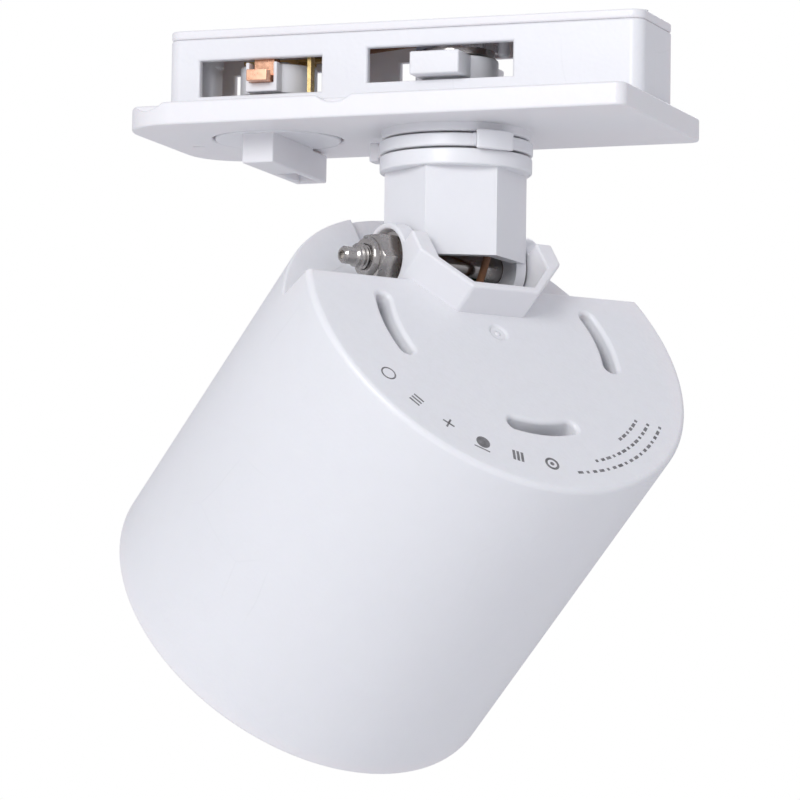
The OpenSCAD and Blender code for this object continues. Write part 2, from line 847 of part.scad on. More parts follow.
adapter_base();
adapter_cover();
cover_screws();
live_terminal();
neutral_terminal();
adapter_live_wire();
adapter_neutral_wire();
detent_spring();
contact_lever();
contact_carrier();
live_contact();
neutral_contact();
carrier_screw();
lock_ring();
lock_cam();
neck();
nipple();
nipple_nut();
spring_washer();
stop_washer();
neck_live_wire();
neck_neutral_wire();
housing();
pivot_bolt();
pivot_nut();
pivot_washers();
friction_washers();
cable_clamp();
clamp_screws();
terminal_block();
head_live_wire();
head_neutral_wire();
driver_board();
transformer();
capacitors();
inductor();
rectifier();
driver_screws();
heat_sink();
heat_sink_screws();
thermal_pad();
led_board();
led_emitter();
led_holder();
led_positive_lead();
led_negative_lead();
reflector();
front_lens();
front_bezel();
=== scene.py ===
"""Track spotlight: detailed pieces, finishes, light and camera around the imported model."""

import json
import math

import bmesh
import bpy
from mathutils import Matrix, Vector

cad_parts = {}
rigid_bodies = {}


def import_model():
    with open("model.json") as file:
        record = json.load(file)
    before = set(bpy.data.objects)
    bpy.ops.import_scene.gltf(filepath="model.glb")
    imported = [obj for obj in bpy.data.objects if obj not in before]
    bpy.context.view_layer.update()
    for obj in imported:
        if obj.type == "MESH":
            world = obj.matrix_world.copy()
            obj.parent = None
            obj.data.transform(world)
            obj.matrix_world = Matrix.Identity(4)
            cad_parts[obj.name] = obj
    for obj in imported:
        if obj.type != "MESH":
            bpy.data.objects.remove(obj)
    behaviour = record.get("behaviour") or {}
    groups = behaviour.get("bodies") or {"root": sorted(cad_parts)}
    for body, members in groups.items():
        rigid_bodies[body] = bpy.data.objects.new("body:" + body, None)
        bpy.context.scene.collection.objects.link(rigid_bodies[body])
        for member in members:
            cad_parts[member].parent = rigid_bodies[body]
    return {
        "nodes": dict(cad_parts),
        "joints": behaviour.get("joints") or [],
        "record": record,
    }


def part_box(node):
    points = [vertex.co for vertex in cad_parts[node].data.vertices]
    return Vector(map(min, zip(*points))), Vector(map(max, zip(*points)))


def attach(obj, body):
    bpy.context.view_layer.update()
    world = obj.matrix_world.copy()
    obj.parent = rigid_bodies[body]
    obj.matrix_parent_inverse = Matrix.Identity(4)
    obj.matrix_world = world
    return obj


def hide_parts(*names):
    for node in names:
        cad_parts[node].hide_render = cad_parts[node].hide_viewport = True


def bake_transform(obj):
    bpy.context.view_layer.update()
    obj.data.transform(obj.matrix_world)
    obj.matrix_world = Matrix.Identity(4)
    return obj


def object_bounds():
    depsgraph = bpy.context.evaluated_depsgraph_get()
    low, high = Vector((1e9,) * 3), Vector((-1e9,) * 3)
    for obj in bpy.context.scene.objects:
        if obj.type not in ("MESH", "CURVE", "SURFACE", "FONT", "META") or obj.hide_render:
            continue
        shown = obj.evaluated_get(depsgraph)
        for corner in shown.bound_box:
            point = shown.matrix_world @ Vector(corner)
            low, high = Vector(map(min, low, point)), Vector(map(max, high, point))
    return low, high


bl_info = {
    "name": "Track Spotlight",
    "version": (1, 0, 0),
    "blender": (4, 5, 0),
    "location": "View3D > Sidebar > Spotlight",
    "description": "Builds a white track spotlight with its adapter, neck, head and inner parts",
    "category": "Object",
}

for leftover in list(bpy.data.objects):
    bpy.data.objects.remove(leftover)

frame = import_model()
CAD_BOX = [list(corner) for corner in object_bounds()]

MM = 0.001
WELD = 0.004
ROUND = 128


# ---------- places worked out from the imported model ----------

def middle(node):
    """Centre of a node's box, in metres."""
    low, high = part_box(node)
    return (low + high) / 2


def joint(name):
    """The record's entry for a joint."""
    return next(j for j in frame["joints"] if j["name"] == name)


def axes(origin, x_dir, y_dir, z_dir):
    """Matrix that takes millimetres along three directions into the row frame's metres."""
    turned = Matrix((x_dir, y_dir, z_dir)).transposed().to_4x4()
    return Matrix.Translation(origin) @ turned @ Matrix.Scale(MM, 4)


BEAM = (middle("front_lens") - middle("led_emitter")).normalized()
BOLT_AXIS = Vector(joint("tilt")["axis"]).normalized()
NOTCH_SIDE = BOLT_AXIS.cross(BEAM)
PIVOT = Vector(joint("tilt")["pos_m"])
PIVOT_V = 16.2
PIVOT_U = 2.4
REAR = PIVOT - (NOTCH_SIDE * PIVOT_V + BEAM * PIVOT_U) * MM

# Head: +X notch side, +Y along the tilt axis (the nut is at -Y), +Z the beam; origin on the rear face
HEAD = axes(REAR, NOTCH_SIDE, BOLT_AXIS, BEAM)
# Neck: +X the way the head leans, +Y towards the nut, +Z up; origin at the track seat
NECK = axes(Vector((0, 0, 0)), Vector((BOLT_AXIS.y, -BOLT_AXIS.x, 0)) * -1, -BOLT_AXIS, Vector((0, 0, 1)))
# Adapter: the row frame itself
ADAPTER = Matrix.Scale(MM, 4)
# Pivot: +Z along the bolt towards the nut; origin at the pivot
BOLT = axes(PIVOT, NOTCH_SIDE, BEAM, -BOLT_AXIS)


# ---------- settings ----------

class SpotlightSizes(bpy.types.PropertyGroup):
    """Sizes of the roundings and details that the finished pieces carry"""

    rim_round: bpy.props.FloatProperty(
        name="Rear rim", description="Rounding of the head's rear rim", default=1.0, unit="LENGTH")
    mouth_round: bpy.props.FloatProperty(
        name="Front rim", description="Rounding of the head's front rim", default=0.45, unit="LENGTH")
    step_round: bpy.props.FloatProperty(
        name="Notch", description="Rounding of the notch and the cradle", default=0.42, unit="LENGTH")
    slot_lip: bpy.props.FloatProperty(
        name="Slot lip", description="Rounding of the vent slots' mouths", default=0.75, unit="LENGTH")
    plate_round: bpy.props.FloatProperty(
        name="Plate", description="Rounding of the adapter's edges", default=0.4, unit="LENGTH")
    thread_pitch: bpy.props.FloatProperty(
        name="Thread pitch", description="Pitch of the pivot bolt's thread", default=0.7, unit="LENGTH")


class SpotlightColours(bpy.types.PropertyGroup):
    """Colours that a user would change"""

    shell: bpy.props.FloatVectorProperty(
        name="Shell", description="Colour of the moulded white parts", subtype="COLOR",
        default=(0.82, 0.82, 0.845))
    ink: bpy.props.FloatVectorProperty(
        name="Marks", description="Colour of the printed marks", subtype="COLOR",
        default=(0.12, 0.12, 0.125))
    board: bpy.props.FloatVectorProperty(
        name="Board", description="Colour of the driver board", subtype="COLOR",
        default=(0.02, 0.16, 0.06))


class SpotlightStage(bpy.types.PropertyGroup):
    """Camera, floor and light"""

    lens: bpy.props.FloatProperty(
        name="Lens", description="Focal length of the camera", default=255.0, unit="CAMERA")
    eye: bpy.props.FloatVectorProperty(
        name="Eye", description="Place of the camera in the row frame", subtype="TRANSLATION",
        default=(0.293, -0.812, -0.139))
    roll: bpy.props.FloatProperty(
        name="Roll", description="Roll that levels the plate", default=0.014, subtype="ANGLE")
    sky: bpy.props.FloatProperty(
        name="Surround", description="Strength of the even light from all round", default=0.63)
    key: bpy.props.FloatProperty(
        name="Key", description="Power of the soft light above left", default=5.4, unit="POWER")


# ---------- mesh helpers, in millimetres ----------

def lathe(profile, steps=ROUND, angle=2 * math.pi):
    """Solid or ring turned about Z from a closed outline of (radius, height) points."""
    bm = bmesh.new()
    verts = [bm.verts.new((r, 0, z)) for r, z in profile]
    face = bm.faces.new(verts)
    if angle < 2 * math.pi:
        bmesh.ops.rotate(bm, verts=bm.verts, matrix=Matrix.Rotation(-angle / 2, 3, "Z"))
        bmesh.ops.spin(bm, geom=[face], axis=(0, 0, 1), angle=angle, steps=steps)
    else:
        edges = list(bm.edges)
        bm.faces.remove(face)
        bmesh.ops.spin(bm, geom=edges, axis=(0, 0, 1), angle=angle, steps=steps, use_merge=True)
    return cleaned(bm)


def cleaned(bm):
    """The mesh with its doubles merged, flat facets joined and faces turned outwards."""
    bmesh.ops.remove_doubles(bm, verts=bm.verts, dist=WELD)
    bmesh.ops.dissolve_degenerate(bm, edges=bm.edges, dist=WELD)
    bmesh.ops.dissolve_limit(bm, angle_limit=math.radians(0.4), verts=bm.verts, edges=bm.edges)
    bmesh.ops.recalc_face_normals(bm, faces=bm.faces)
    return bm


def prism(outline, low, high, along="Z"):
    """Extruded outline; along Y the outline's points are (x, z)."""
    bm = bmesh.new()
    if along == "Z":
        verts = [bm.verts.new((x, y, low)) for x, y in outline]
    else:
        verts = [bm.verts.new((x, low, z)) for x, z in outline]
    face = bm.faces.new(verts)
    out = bmesh.ops.extrude_face_region(bm, geom=[face])
    step = (0, 0, high - low) if along == "Z" else (0, high - low, 0)
    moved = [v for v in out["geom"] if isinstance(v, bmesh.types.BMVert)]
    bmesh.ops.translate(bm, vec=step, verts=moved)
    bmesh.ops.recalc_face_normals(bm, faces=bm.faces)
    return bm


def drum(radius, low, high, steps=64, top=None):
    """Cylinder or cone about Z."""
    bm = bmesh.new()
    bmesh.ops.create_cone(bm, cap_ends=True, segments=steps, radius1=radius,
                          radius2=radius if top is None else top, depth=high - low)
    bmesh.ops.translate(bm, vec=(0, 0, (low + high) / 2), verts=bm.verts)
    return bm


def block(low, high):
    """Box between two corners."""
    bm = bmesh.new()
    bmesh.ops.create_cube(bm, size=1)
    low, high = Vector(low), Vector(high)
    bmesh.ops.scale(bm, vec=high - low, verts=bm.verts)
    bmesh.ops.translate(bm, vec=(low + high) / 2, verts=bm.verts)
    return bm


def placed(bm, matrix):
    """The mesh moved by a matrix."""
    bmesh.ops.transform(bm, matrix=matrix, verts=bm.verts)
    return bm


def shifted(bm, x, y, z):
    """The mesh moved along the axes."""
    bmesh.ops.translate(bm, vec=(x, y, z), verts=bm.verts)
    return bm


def sideways(bm, x, y, z):
    """The mesh turned from Z to -Y, then moved."""
    bmesh.ops.rotate(bm, verts=bm.verts, matrix=Matrix.Rotation(math.pi / 2, 3, "X"))
    return shifted(bm, x, y, z)


def joined(*meshes):
    """Several separate meshes as one, with nothing merged."""
    bm = bmesh.new()
    for part in meshes:
        mesh = bpy.data.meshes.new("work")
        part.to_mesh(mesh)
        part.free()
        bm.from_mesh(mesh)
        bpy.data.meshes.remove(mesh)
    return bm


def combined(base, tool, operation="DIFFERENCE"):
    """Base cut by the tool, or joined with it; both are used up."""
    workers = []
    for bm in (base, tool):
        mesh = bpy.data.meshes.new("work")
        bm.to_mesh(mesh)
        bm.free()
        worker = bpy.data.objects.new("work", mesh)
        bpy.context.scene.collection.objects.link(worker)
        workers.append(worker)
    modifier = workers[0].modifiers.new("combine", "BOOLEAN")
    modifier.operation = operation
    modifier.solver = "EXACT"
    modifier.object = workers[1]
    result = bmesh.new()
    result.from_object(workers[0], bpy.context.evaluated_depsgraph_get())
    for worker in workers:
        mesh = worker.data
        bpy.data.objects.remove(worker)
        bpy.data.meshes.remove(mesh)
    if not result.faces:
        raise RuntimeError("a cut left nothing of the piece")
    return cleaned(result)


def eased(bm, width, test=None, segments=3, angle=32, hollow=False):
    """Rounds the sharp edges that the test picks; hollow takes inner corners too."""
    edges = []
    for edge in bm.edges:
        if len(edge.link_faces) != 2 or edge.calc_face_angle(0) < math.radians(angle):
            continue
        if not hollow and not edge.is_convex:
            continue
        centre = (edge.verts[0].co + edge.verts[1].co) / 2
        if test is None or test(centre):
            edges.append(edge)
    if edges:
        bmesh.ops.bevel(bm, geom=edges, offset=width, offset_type="OFFSET", segments=segments,
                        profile=0.5, affect="EDGES", clamp_overlap=False, material=-1,
                        loop_slide=True)
    return bm


def cad_copy(node, place):
    """A welded copy of a CAD node's mesh, in millimetres in a local frame."""
    bm = bmesh.new()
    bm.from_mesh(frame["nodes"][node].data)
    bmesh.ops.transform(bm, matrix=place.inverted(), verts=bm.verts)
    return cleaned(bm)


def tube(path, radius, sides=12, close=True):
    """Round wire along a list of points."""
    bm = bmesh.new()
    points = [Vector(p) for p in path]
    across = None
    rings = []
    for i, point in enumerate(points):
        ahead = (points[min(i + 1, len(points) - 1)] - points[max(i - 1, 0)]).normalized()
        if across is None:
            across = ahead.orthogonal().normalized()
        across = (across - ahead * across.dot(ahead)).normalized()
        turn = Matrix((across, ahead.cross(across), ahead)).transposed().to_4x4()
        ring = bmesh.ops.create_circle(bm, segments=sides, radius=radius)["verts"]
        bmesh.ops.transform(bm, matrix=Matrix.Translation(point) @ turn, verts=ring)
        rings.append([e for e in bm.edges if e.verts[0] in ring and e.verts[1] in ring])
    for first, second in zip(rings, rings[1:]):
        bmesh.ops.bridge_loops(bm, edges=first + second)
    if close:
        bmesh.ops.holes_fill(bm, edges=rings[0] + rings[-1])
    bmesh.ops.recalc_face_normals(bm, faces=bm.faces)
    return bm


def curve_points(points, per_leg=8):
    """Smooth line through given points."""
    points = [Vector(p) for p in points]
    ends = [points[0] * 2 - points[1]] + points + [points[-1] * 2 - points[-2]]
    line = []
    for a, b, c, d in zip(ends, ends[1:], ends[2:], ends[3:]):
        for k in range(per_leg):
            t = k / per_leg
            line.append(0.5 * (2 * b + (c - a) * t + (2 * a - 5 * b + 4 * c - d) * t ** 2
                               + (3 * b - a - 3 * c + d) * t ** 3))
    return line + [points[-1]]


def helix(radius, pitch, turns, low, per_turn=24):
    """Points of a coil about Z."""
    count = int(turns * per_turn)
    return [(radius * math.cos(2 * math.pi * k / per_turn), radius * math.sin(2 * math.pi * k / per_turn),
             low + pitch * k / per_turn) for k in range(count + 1)]


def thread(core, depth, pitch, low, high, steps=28):
    """Helical ridge about Z, spun up from one tooth."""
    bm = bmesh.new()
    tooth = [(core - 0.1, 0), (core + depth, 0.42 * pitch), (core + depth, 0.5 * pitch), (core - 0.1, 0.92 * pitch)]
    face = bm.faces.new([bm.verts.new((r, 0, low + z)) for r, z in tooth])
    turns = int((high - low) / pitch) - 1
    bmesh.ops.spin(bm, geom=[face], axis=(0, 0, 1), angle=2 * math.pi * turns, steps=steps * turns,
                   dvec=(0, 0, pitch / steps))
    bmesh.ops.remove_doubles(bm, verts=bm.verts, dist=WELD / 4)
    bmesh.ops.recalc_face_normals(bm, faces=bm.faces)
    return bm


def arc(cx, cy, radius, start, end, steps):
    """Points along an arc, its angles in degrees."""
    return [(cx + radius * math.cos(math.radians(start + (end - start) * k / steps)),
             cy + radius * math.sin(math.radians(start + (end - start) * k / steps)))
            for k in range(steps + 1)]


def kidney(pitch_r, half_angle, half_width):
    """Outline of a slot that follows a pitch circle about +X."""
    a = math.radians(half_angle)
    ex, ey = pitch_r * math.cos(a), pitch_r * math.sin(a)
    return (arc(0, 0, pitch_r + half_width, -half_angle, half_angle, 12)
            + arc(ex, ey, half_width, half_angle, half_angle + 180, 10)[1:-1]
            + arc(0, 0, pitch_r - half_width, half_angle, -half_angle, 12)
            + arc(ex, -ey, half_width, 180 - half_angle, 360 - half_angle, 10)[1:-1])


def finish_piece(name, bm, place, body, finish, replaces=(), sharp=34, weighted=True):
    """Puts a millimetre mesh into the row frame as a piece that rides on a body."""
    bmesh.ops.transform(bm, matrix=place, verts=bm.verts)
    bmesh.ops.recalc_face_normals(bm, faces=bm.faces)
    for face in bm.faces:
        face.smooth = True
    for edge in bm.edges:
        edge.smooth = len(edge.link_faces) == 2 and edge.calc_face_angle(0) < math.radians(sharp)
    mesh = bpy.data.meshes.new(name)
    bm.to_mesh(mesh)
    bm.free()
    piece = bpy.data.objects.new(name, mesh)
    bpy.context.scene.collection.objects.link(piece)
    mesh.materials.append(finish_of(finish))
    if body:
        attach(piece, body)
    if replaces:
        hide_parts(*replaces)
    if weighted:
        shade = piece.modifiers.new("even_normals", "WEIGHTED_NORMAL")
        shade.keep_sharp = True
    return piece


# ---------- node groups that the finishes share ----------

def node(tree, kind, at=(0, 0), **values):
    """Adds a node; keyword values fill its input sockets by name or its settings."""
    made = tree.nodes.new(kind)
    made.location = at
    for key, value in values.items():
        if key in made.inputs:
            made.inputs[key].default_value = value
        elif key.replace("_", " ") in made.inputs:
            made.inputs[key.replace("_", " ")].default_value = value
        else:
            setattr(made, key, value)
    return made


def new_group(name, inputs, outputs):
    """Empty node group with float inputs, a Vector input and named outputs."""
    tree = bpy.data.node_groups.new(name, "ShaderNodeTree")
    tree.interface.new_socket("Vector", in_out="INPUT", socket_type="NodeSocketVector")
    for label, default in inputs.items():
        socket = tree.interface.new_socket(label, in_out="INPUT", socket_type="NodeSocketFloat")
        socket.default_value = default
    for label in outputs:
        tree.interface.new_socket(label, in_out="OUTPUT", socket_type="NodeSocketFloat")
    source = node(tree, "NodeGroupInput", (-900, 0))
    sink = node(tree, "NodeGroupOutput", (600, 0))
    return tree, source, sink


def maths(tree, operation, first, second, at=(0, 0)):
    """Math node fed by sockets or numbers."""
    made = node(tree, "ShaderNodeMath", at, operation=operation)
    for index, value in enumerate((first, second)):
        if isinstance(value, bpy.types.NodeSocket):
            tree.links.new(value, made.inputs[index])
        else:
            made.inputs[index].default_value = value
    return made.outputs[0]


def build_mottle():
    """Slow drift of tone over a surface, as in moulded or plated parts."""
    tree, source, sink = new_group("mottle", {"Scale": 60.0, "Contrast": 1.0}, ["Value"])
    coarse = node(tree, "ShaderNodeTexNoise", (-600, 100), Detail=3.0, Roughness=0.55)
    fine = node(tree, "ShaderNodeTexNoise", (-600, -200), Detail=2.0, Roughness=0.6)
    tree.links.new(source.outputs["Vector"], coarse.inputs["Vector"])
    tree.links.new(source.outputs["Vector"], fine.inputs["Vector"])
    tree.links.new(source.outputs["Scale"], coarse.inputs["Scale"])
    tree.links.new(maths(tree, "MULTIPLY", source.outputs["Scale"], 7.3, (-780, -240)), fine.inputs["Scale"])
    both = maths(tree, "ADD", maths(tree, "MULTIPLY", coarse.outputs["Fac"], 0.7, (-400, 100)),
                 maths(tree, "MULTIPLY", fine.outputs["Fac"], 0.3, (-400, -200)), (-200, 0))
    spread = maths(tree, "MULTIPLY", maths(tree, "SUBTRACT", both, 0.5, (0, 0)),
                   source.outputs["Contrast"], (150, 0))
    lifted = node(tree, "ShaderNodeMath", (300, 0), operation="ADD", use_clamp=True)
    tree.links.new(spread, lifted.inputs[0])
    lifted.inputs[1].default_value = 0.5
    tree.links.new(lifted.outputs[0], sink.inputs["Value"])
    return tree


def build_grain():
    """Fine spark-eroded mould texture with shallow flow marks."""
    tree, source, sink = new_group("mould_grain", {"Scale": 1500.0, "Flow": 0.35}, ["Height"])
    pits = node(tree, "ShaderNodeTexVoronoi", (-600, 100), feature="SMOOTH_F1", Smoothness=1.0)
    flow = node(tree, "ShaderNodeTexNoise", (-600, -200), Detail=4.0, Roughness=0.5, Distortion=0.6)
    tree.links.new(source.outputs["Vector"], pits.inputs["Vector"])
    tree.links.new(source.outputs["Vector"], flow.inputs["Vector"])
    tree.links.new(source.outputs["Scale"], pits.inputs["Scale"])
    tree.links.new(maths(tree, "MULTIPLY", source.outputs["Scale"], 0.06, (-780, -200)), flow.inputs["Scale"])
    waves = maths(tree, "MULTIPLY", flow.outputs["Fac"], source.outputs["Flow"], (-300, -200))
    tree.links.new(maths(tree, "ADD", pits.outputs["Distance"], waves, (0, 0)), sink.inputs["Height"])
    return tree


def build_scuffs():
    """Sparse thin handling scratches: 1 on a scratch and 0 elsewhere."""
    tree, source, sink = new_group("scuffs", {"Scale": 90.0, "Amount": 0.5}, ["Mask"])
    bend = node(tree, "ShaderNodeTexNoise", (-750, -200), Scale=40.0, Detail=2.0)
    mix = node(tree, "ShaderNodeVectorMath", (-550, 0), operation="ADD")
    small = node(tree, "ShaderNodeVectorMath", (-600, -200), operation="SCALE")
    small.inputs["Scale"].default_value = 0.006
    lines = node(tree, "ShaderNodeTexVoronoi", (-350, 0), feature="DISTANCE_TO_EDGE")
    patch = node(tree, "ShaderNodeTexNoise", (-350, -300), Detail=1.0)
    tree.links.new(source.outputs["Vector"], bend.inputs["Vector"])
    tree.links.new(bend.outputs["Color"], small.inputs[0])
    tree.links.new(source.outputs["Vector"], mix.inputs[0])
    tree.links.new(small.outputs[0], mix.inputs[1])
    tree.links.new(mix.outputs[0], lines.inputs["Vector"])
    tree.links.new(source.outputs["Vector"], patch.inputs["Vector"])
    tree.links.new(source.outputs["Scale"], lines.inputs["Scale"])
    tree.links.new(maths(tree, "MULTIPLY", source.outputs["Scale"], 0.8, (-550, -350)), patch.inputs["Scale"])
    thin = node(tree, "ShaderNodeMapRange", (-100, 0), From_Min=0.0, From_Max=0.012, To_Min=1.0, To_Max=0.0)
    tree.links.new(lines.outputs["Distance"], thin.inputs["Value"])
    some = node(tree, "ShaderNodeMapRange", (-100, -300), From_Min=0.58, From_Max=0.68)
    tree.links.new(patch.outputs["Fac"], some.inputs["Value"])
    marks = maths(tree, "MULTIPLY", thin.outputs["Result"], some.outputs["Result"], (150, -100))
    tree.links.new(maths(tree, "MULTIPLY", marks, source.outputs["Amount"], (350, -100)), sink.inputs["Mask"])
    return tree


def build_brushing():
    """Turning or brushing lines along one direction."""
    tree, source, sink = new_group("brushing", {"Scale": 400.0, "Stretch": 0.04}, ["Height"])
    squeeze = node(tree, "ShaderNodeCombineXYZ", (-700, -150), X=1.0, Z=1.0)
    scaled = node(tree, "ShaderNodeVectorMath", (-500, 0), operation="MULTIPLY")
    lines = node(tree, "ShaderNodeTexNoise", (-250, 0), Detail=4.0, Roughness=0.65)
    tree.links.new(source.outputs["Stretch"], squeeze.inputs["Y"])
    tree.links.new(source.outputs["Vector"], scaled.inputs[0])
    tree.links.new(squeeze.outputs[0], scaled.inputs[1])
    tree.links.new(scaled.outputs[0], lines.inputs["Vector"])
    tree.links.new(source.outputs["Scale"], lines.inputs["Scale"])
    tree.links.new(lines.outputs["Fac"], sink.inputs["Height"])
    return tree


def build_dust():
    """Thin dust that settles on faces turned upwards."""
    tree, source, sink = new_group("dust", {"Scale": 700.0, "Amount": 0.3}, ["Mask"])
    facing = node(tree, "ShaderNodeNewGeometry", (-700, 200))
    split = node(tree, "ShaderNodeSeparateXYZ", (-500, 200))
    tree.links.new(facing.outputs["Normal"], split.inputs[0])
    upward = node(tree, "ShaderNodeMapRange", (-250, 200), From_Min=0.3, From_Max=1.0)
    tree.links.new(split.outputs["Z"], upward.inputs["Value"])
    specks = node(tree, "ShaderNodeTexNoise", (-500, -100), Detail=5.0, Roughness=0.7)
    tree.links.new(source.outputs["Vector"], specks.inputs["Vector"])
    tree.links.new(source.outputs["Scale"], specks.inputs["Scale"])
    spots = node(tree, "ShaderNodeMapRange", (-250, -100), From_Min=0.45, From_Max=0.75)
    tree.links.new(specks.outputs["Fac"], spots.inputs["Value"])
    both = maths(tree, "MULTIPLY", upward.outputs["Result"], spots.outputs["Result"], (0, 0))
    tree.links.new(maths(tree, "MULTIPLY", both, source.outputs["Amount"], (250, 0)), sink.inputs["Mask"])
    return tree


GROUPS = {}


def group(tree, name, coords, at=(0, 0), **values):
    """Places a shared node group in a material and returns its first output."""
    builders = {"mottle": build_mottle, "grain": build_grain, "scuffs": build_scuffs,
                "brushing": build_brushing, "dust": build_dust}
    if name not in GROUPS:
        GROUPS[name] = builders[name]()
    made = node(tree, "ShaderNodeGroup", at, node_tree=GROUPS[name])
    tree.links.new(coords, made.inputs["Vector"])
    for key, value in values.items():
        made.inputs[key].default_value = value
    return made.outputs[0]


def start_material(name, **fixed):
    """Material with a Principled shader whose constant sockets are set, and object coordinates."""
    material = bpy.data.materials.new(name)
    material.use_nodes = True
    tree = material.node_tree
    shader = tree.nodes["Principled BSDF"]
    for key, value in fixed.items():
        shader.inputs[key.replace("_", " ")].default_value = value
    coords = node(tree, "ShaderNodeTexCoord", (-1200, 0)).outputs["Object"]
    return material, tree, shader, coords


def mixed(tree, factor, first, second, at=(0, 0)):
    """Colour mix of two colours or sockets by a varying mask."""
    made = node(tree, "ShaderNodeMix", at, data_type="RGBA")
    tree.links.new(factor, made.inputs["Factor"])
    for socket, value in ((made.inputs[6], first), (made.inputs[7], second)):
        if isinstance(value, bpy.types.NodeSocket):
            tree.links.new(value, socket)
        else:
            socket.default_value = (*value, 1.0)
    return made.outputs[2]


def ranged(tree, value, low, high, at=(0, 0), source=(0.0, 1.0)):
    """Map Range from one span to another."""
    made = node(tree, "ShaderNodeMapRange", at, To_Min=low, To_Max=high)
    made.inputs["From Min"].default_value, made.inputs["From Max"].default_value = source
    tree.links.new(value, made.inputs["Value"])
    return made.outputs["Result"]


def bumped(tree, shader, height, distance, strength=1.0):
    """Feeds a height through a Bump node into the shader's normal."""
    bump = node(tree, "ShaderNodeBump", (-250, -400), Strength=strength, Distance=distance)
    tree.links.new(height, bump.inputs["Height"])
    tree.links.new(bump.outputs["Normal"], shader.inputs["Normal"])


def shade(colour, factor):
    """Colour made darker or lighter."""
    return tuple(min(1.0, c * factor) for c in colour)


# ---------- finishes ----------

def plastic(name, colour, rough=0.38, grain=1400.0, depth=0.00002, drift=0.97, **fixed):
    """Moulded plastic: tone drift, mould grain, faint scuffs and dust."""
    material, tree, shader, coords = start_material(name, **fixed)
    tone = group(tree, "mottle", coords, (-900, 300), Scale=35.0, Contrast=1.6)
    scuff = group(tree, "scuffs", coords, (-900, 0), Scale=70.0, Amount=0.35)
    dust = group(tree, "dust", coords, (-900, -200), Scale=650.0, Amount=0.22)
    base = mixed(tree, tone, shade(colour, drift), shade(colour, 1.015), (-600, 300))
    worn = mixed(tree, scuff, base, shade(colour, 0.9), (-400, 300))
    dusty = mixed(tree, dust, worn, (0.62, 0.61, 0.6), (-200, 300))
    tree.links.new(dusty, shader.inputs["Base Color"])
    level = ranged(tree, tone, rough - 0.04, rough + 0.05, (-600, 0))
    tree.links.new(maths(tree, "ADD", level, maths(tree, "MULTIPLY", dust, 0.3, (-500, -200)), (-300, 0)),
                   shader.inputs["Roughness"])
    height = group(tree, "grain", coords, (-900, -400), Scale=grain, Flow=0.6)
    bumped(tree, shader, height, depth)
    return material


def metal(name, bright, dark, rough=0.28, brush=900.0, stretch=0.05, depth=0.00001, **fixed):
    """Metal: brushed or turned lines, tarnish drift and scratches."""
    material, tree, shader, coords = start_material(name, Metallic=1.0, **fixed)
    tone = group(tree, "mottle", coords, (-900, 300), Scale=160.0, Contrast=1.8)
    lines = group(tree, "brushing", coords, (-900, -300), Scale=brush, Stretch=stretch)
    scuff = group(tree, "scuffs", coords, (-900, 0), Scale=240.0, Amount=0.8)
    base = mixed(tree, tone, dark, bright, (-600, 300))
    tree.links.new(mixed(tree, scuff, base, shade(bright, 1.12), (-400, 300)), shader.inputs["Base Color"])
    level = maths(tree, "MULTIPLY", lines, tone, (-600, 0))
    tree.links.new(ranged(tree, level, rough - 0.08, rough + 0.16, (-400, 0), (0.1, 0.45)),
                   shader.inputs["Roughness"])
    bumped(tree, shader, lines, depth, 0.6)
    return material


def board_finish(name, colour, track):
    """Circuit board: solder mask over copper tracks, with pads."""
    material, tree, shader, coords = start_material(name, Coat_Weight=0.4, Coat_Roughness=0.12)
    lanes = node(tree, "ShaderNodeTexBrick", (-900, 200), Scale=160.0, offset=0.37)
    lanes.inputs["Mortar Size"].default_value = 0.14
    lanes.inputs["Mortar Smooth"].default_value = 0.1
    tree.links.new(coords, lanes.inputs["Vector"])
    cells = node(tree, "ShaderNodeTexVoronoi", (-900, -200), Scale=420.0)
    tree.links.new(coords, cells.inputs["Vector"])
    pads = ranged(tree, cells.outputs["Distance"], 1.0, 0.0, (-700, -200), (0.1, 0.16))
    tone = group(tree, "mottle", coords, (-900, 500), Scale=90.0, Contrast=1.4)
    base = mixed(tree, tone, shade(colour, 0.85), shade(colour, 1.2), (-600, 400))
    laid = mixed(tree, lanes.outputs["Fac"], base, track, (-400, 300))
    tree.links.new(mixed(tree, pads, laid, (0.7, 0.66, 0.55), (-200, 300)), shader.inputs["Base Color"])
    tree.links.new(ranged(tree, tone, 0.3, 0.45, (-400, 0)), shader.inputs["Roughness"])
    bumped(tree, shader, lanes.outputs["Fac"], 0.00003, 0.5)
    return material


def insulation(name, colour):
    """Silicone wire cover with print dust and slight waviness."""
    material, tree, shader, coords = start_material(name, Sheen_Weight=0.15, Sheen_Roughness=0.4)
    tone = group(tree, "mottle", coords, (-900, 300), Scale=300.0, Contrast=1.8)
    dust = group(tree, "dust", coords, (-900, 0), Scale=1800.0, Amount=0.35)
    base = mixed(tree, tone, shade(colour, 0.75), shade(colour, 1.2), (-600, 300))
    tree.links.new(mixed(tree, dust, base, (0.5, 0.48, 0.46), (-400, 300)), shader.inputs["Base Color"])
    tree.links.new(ranged(tree, tone, 0.42, 0.6, (-600, 0)), shader.inputs["Roughness"])
    bumped(tree, shader, group(tree, "grain", coords, (-900, -300), Scale=2600.0, Flow=1.2), 0.00002)
    return material


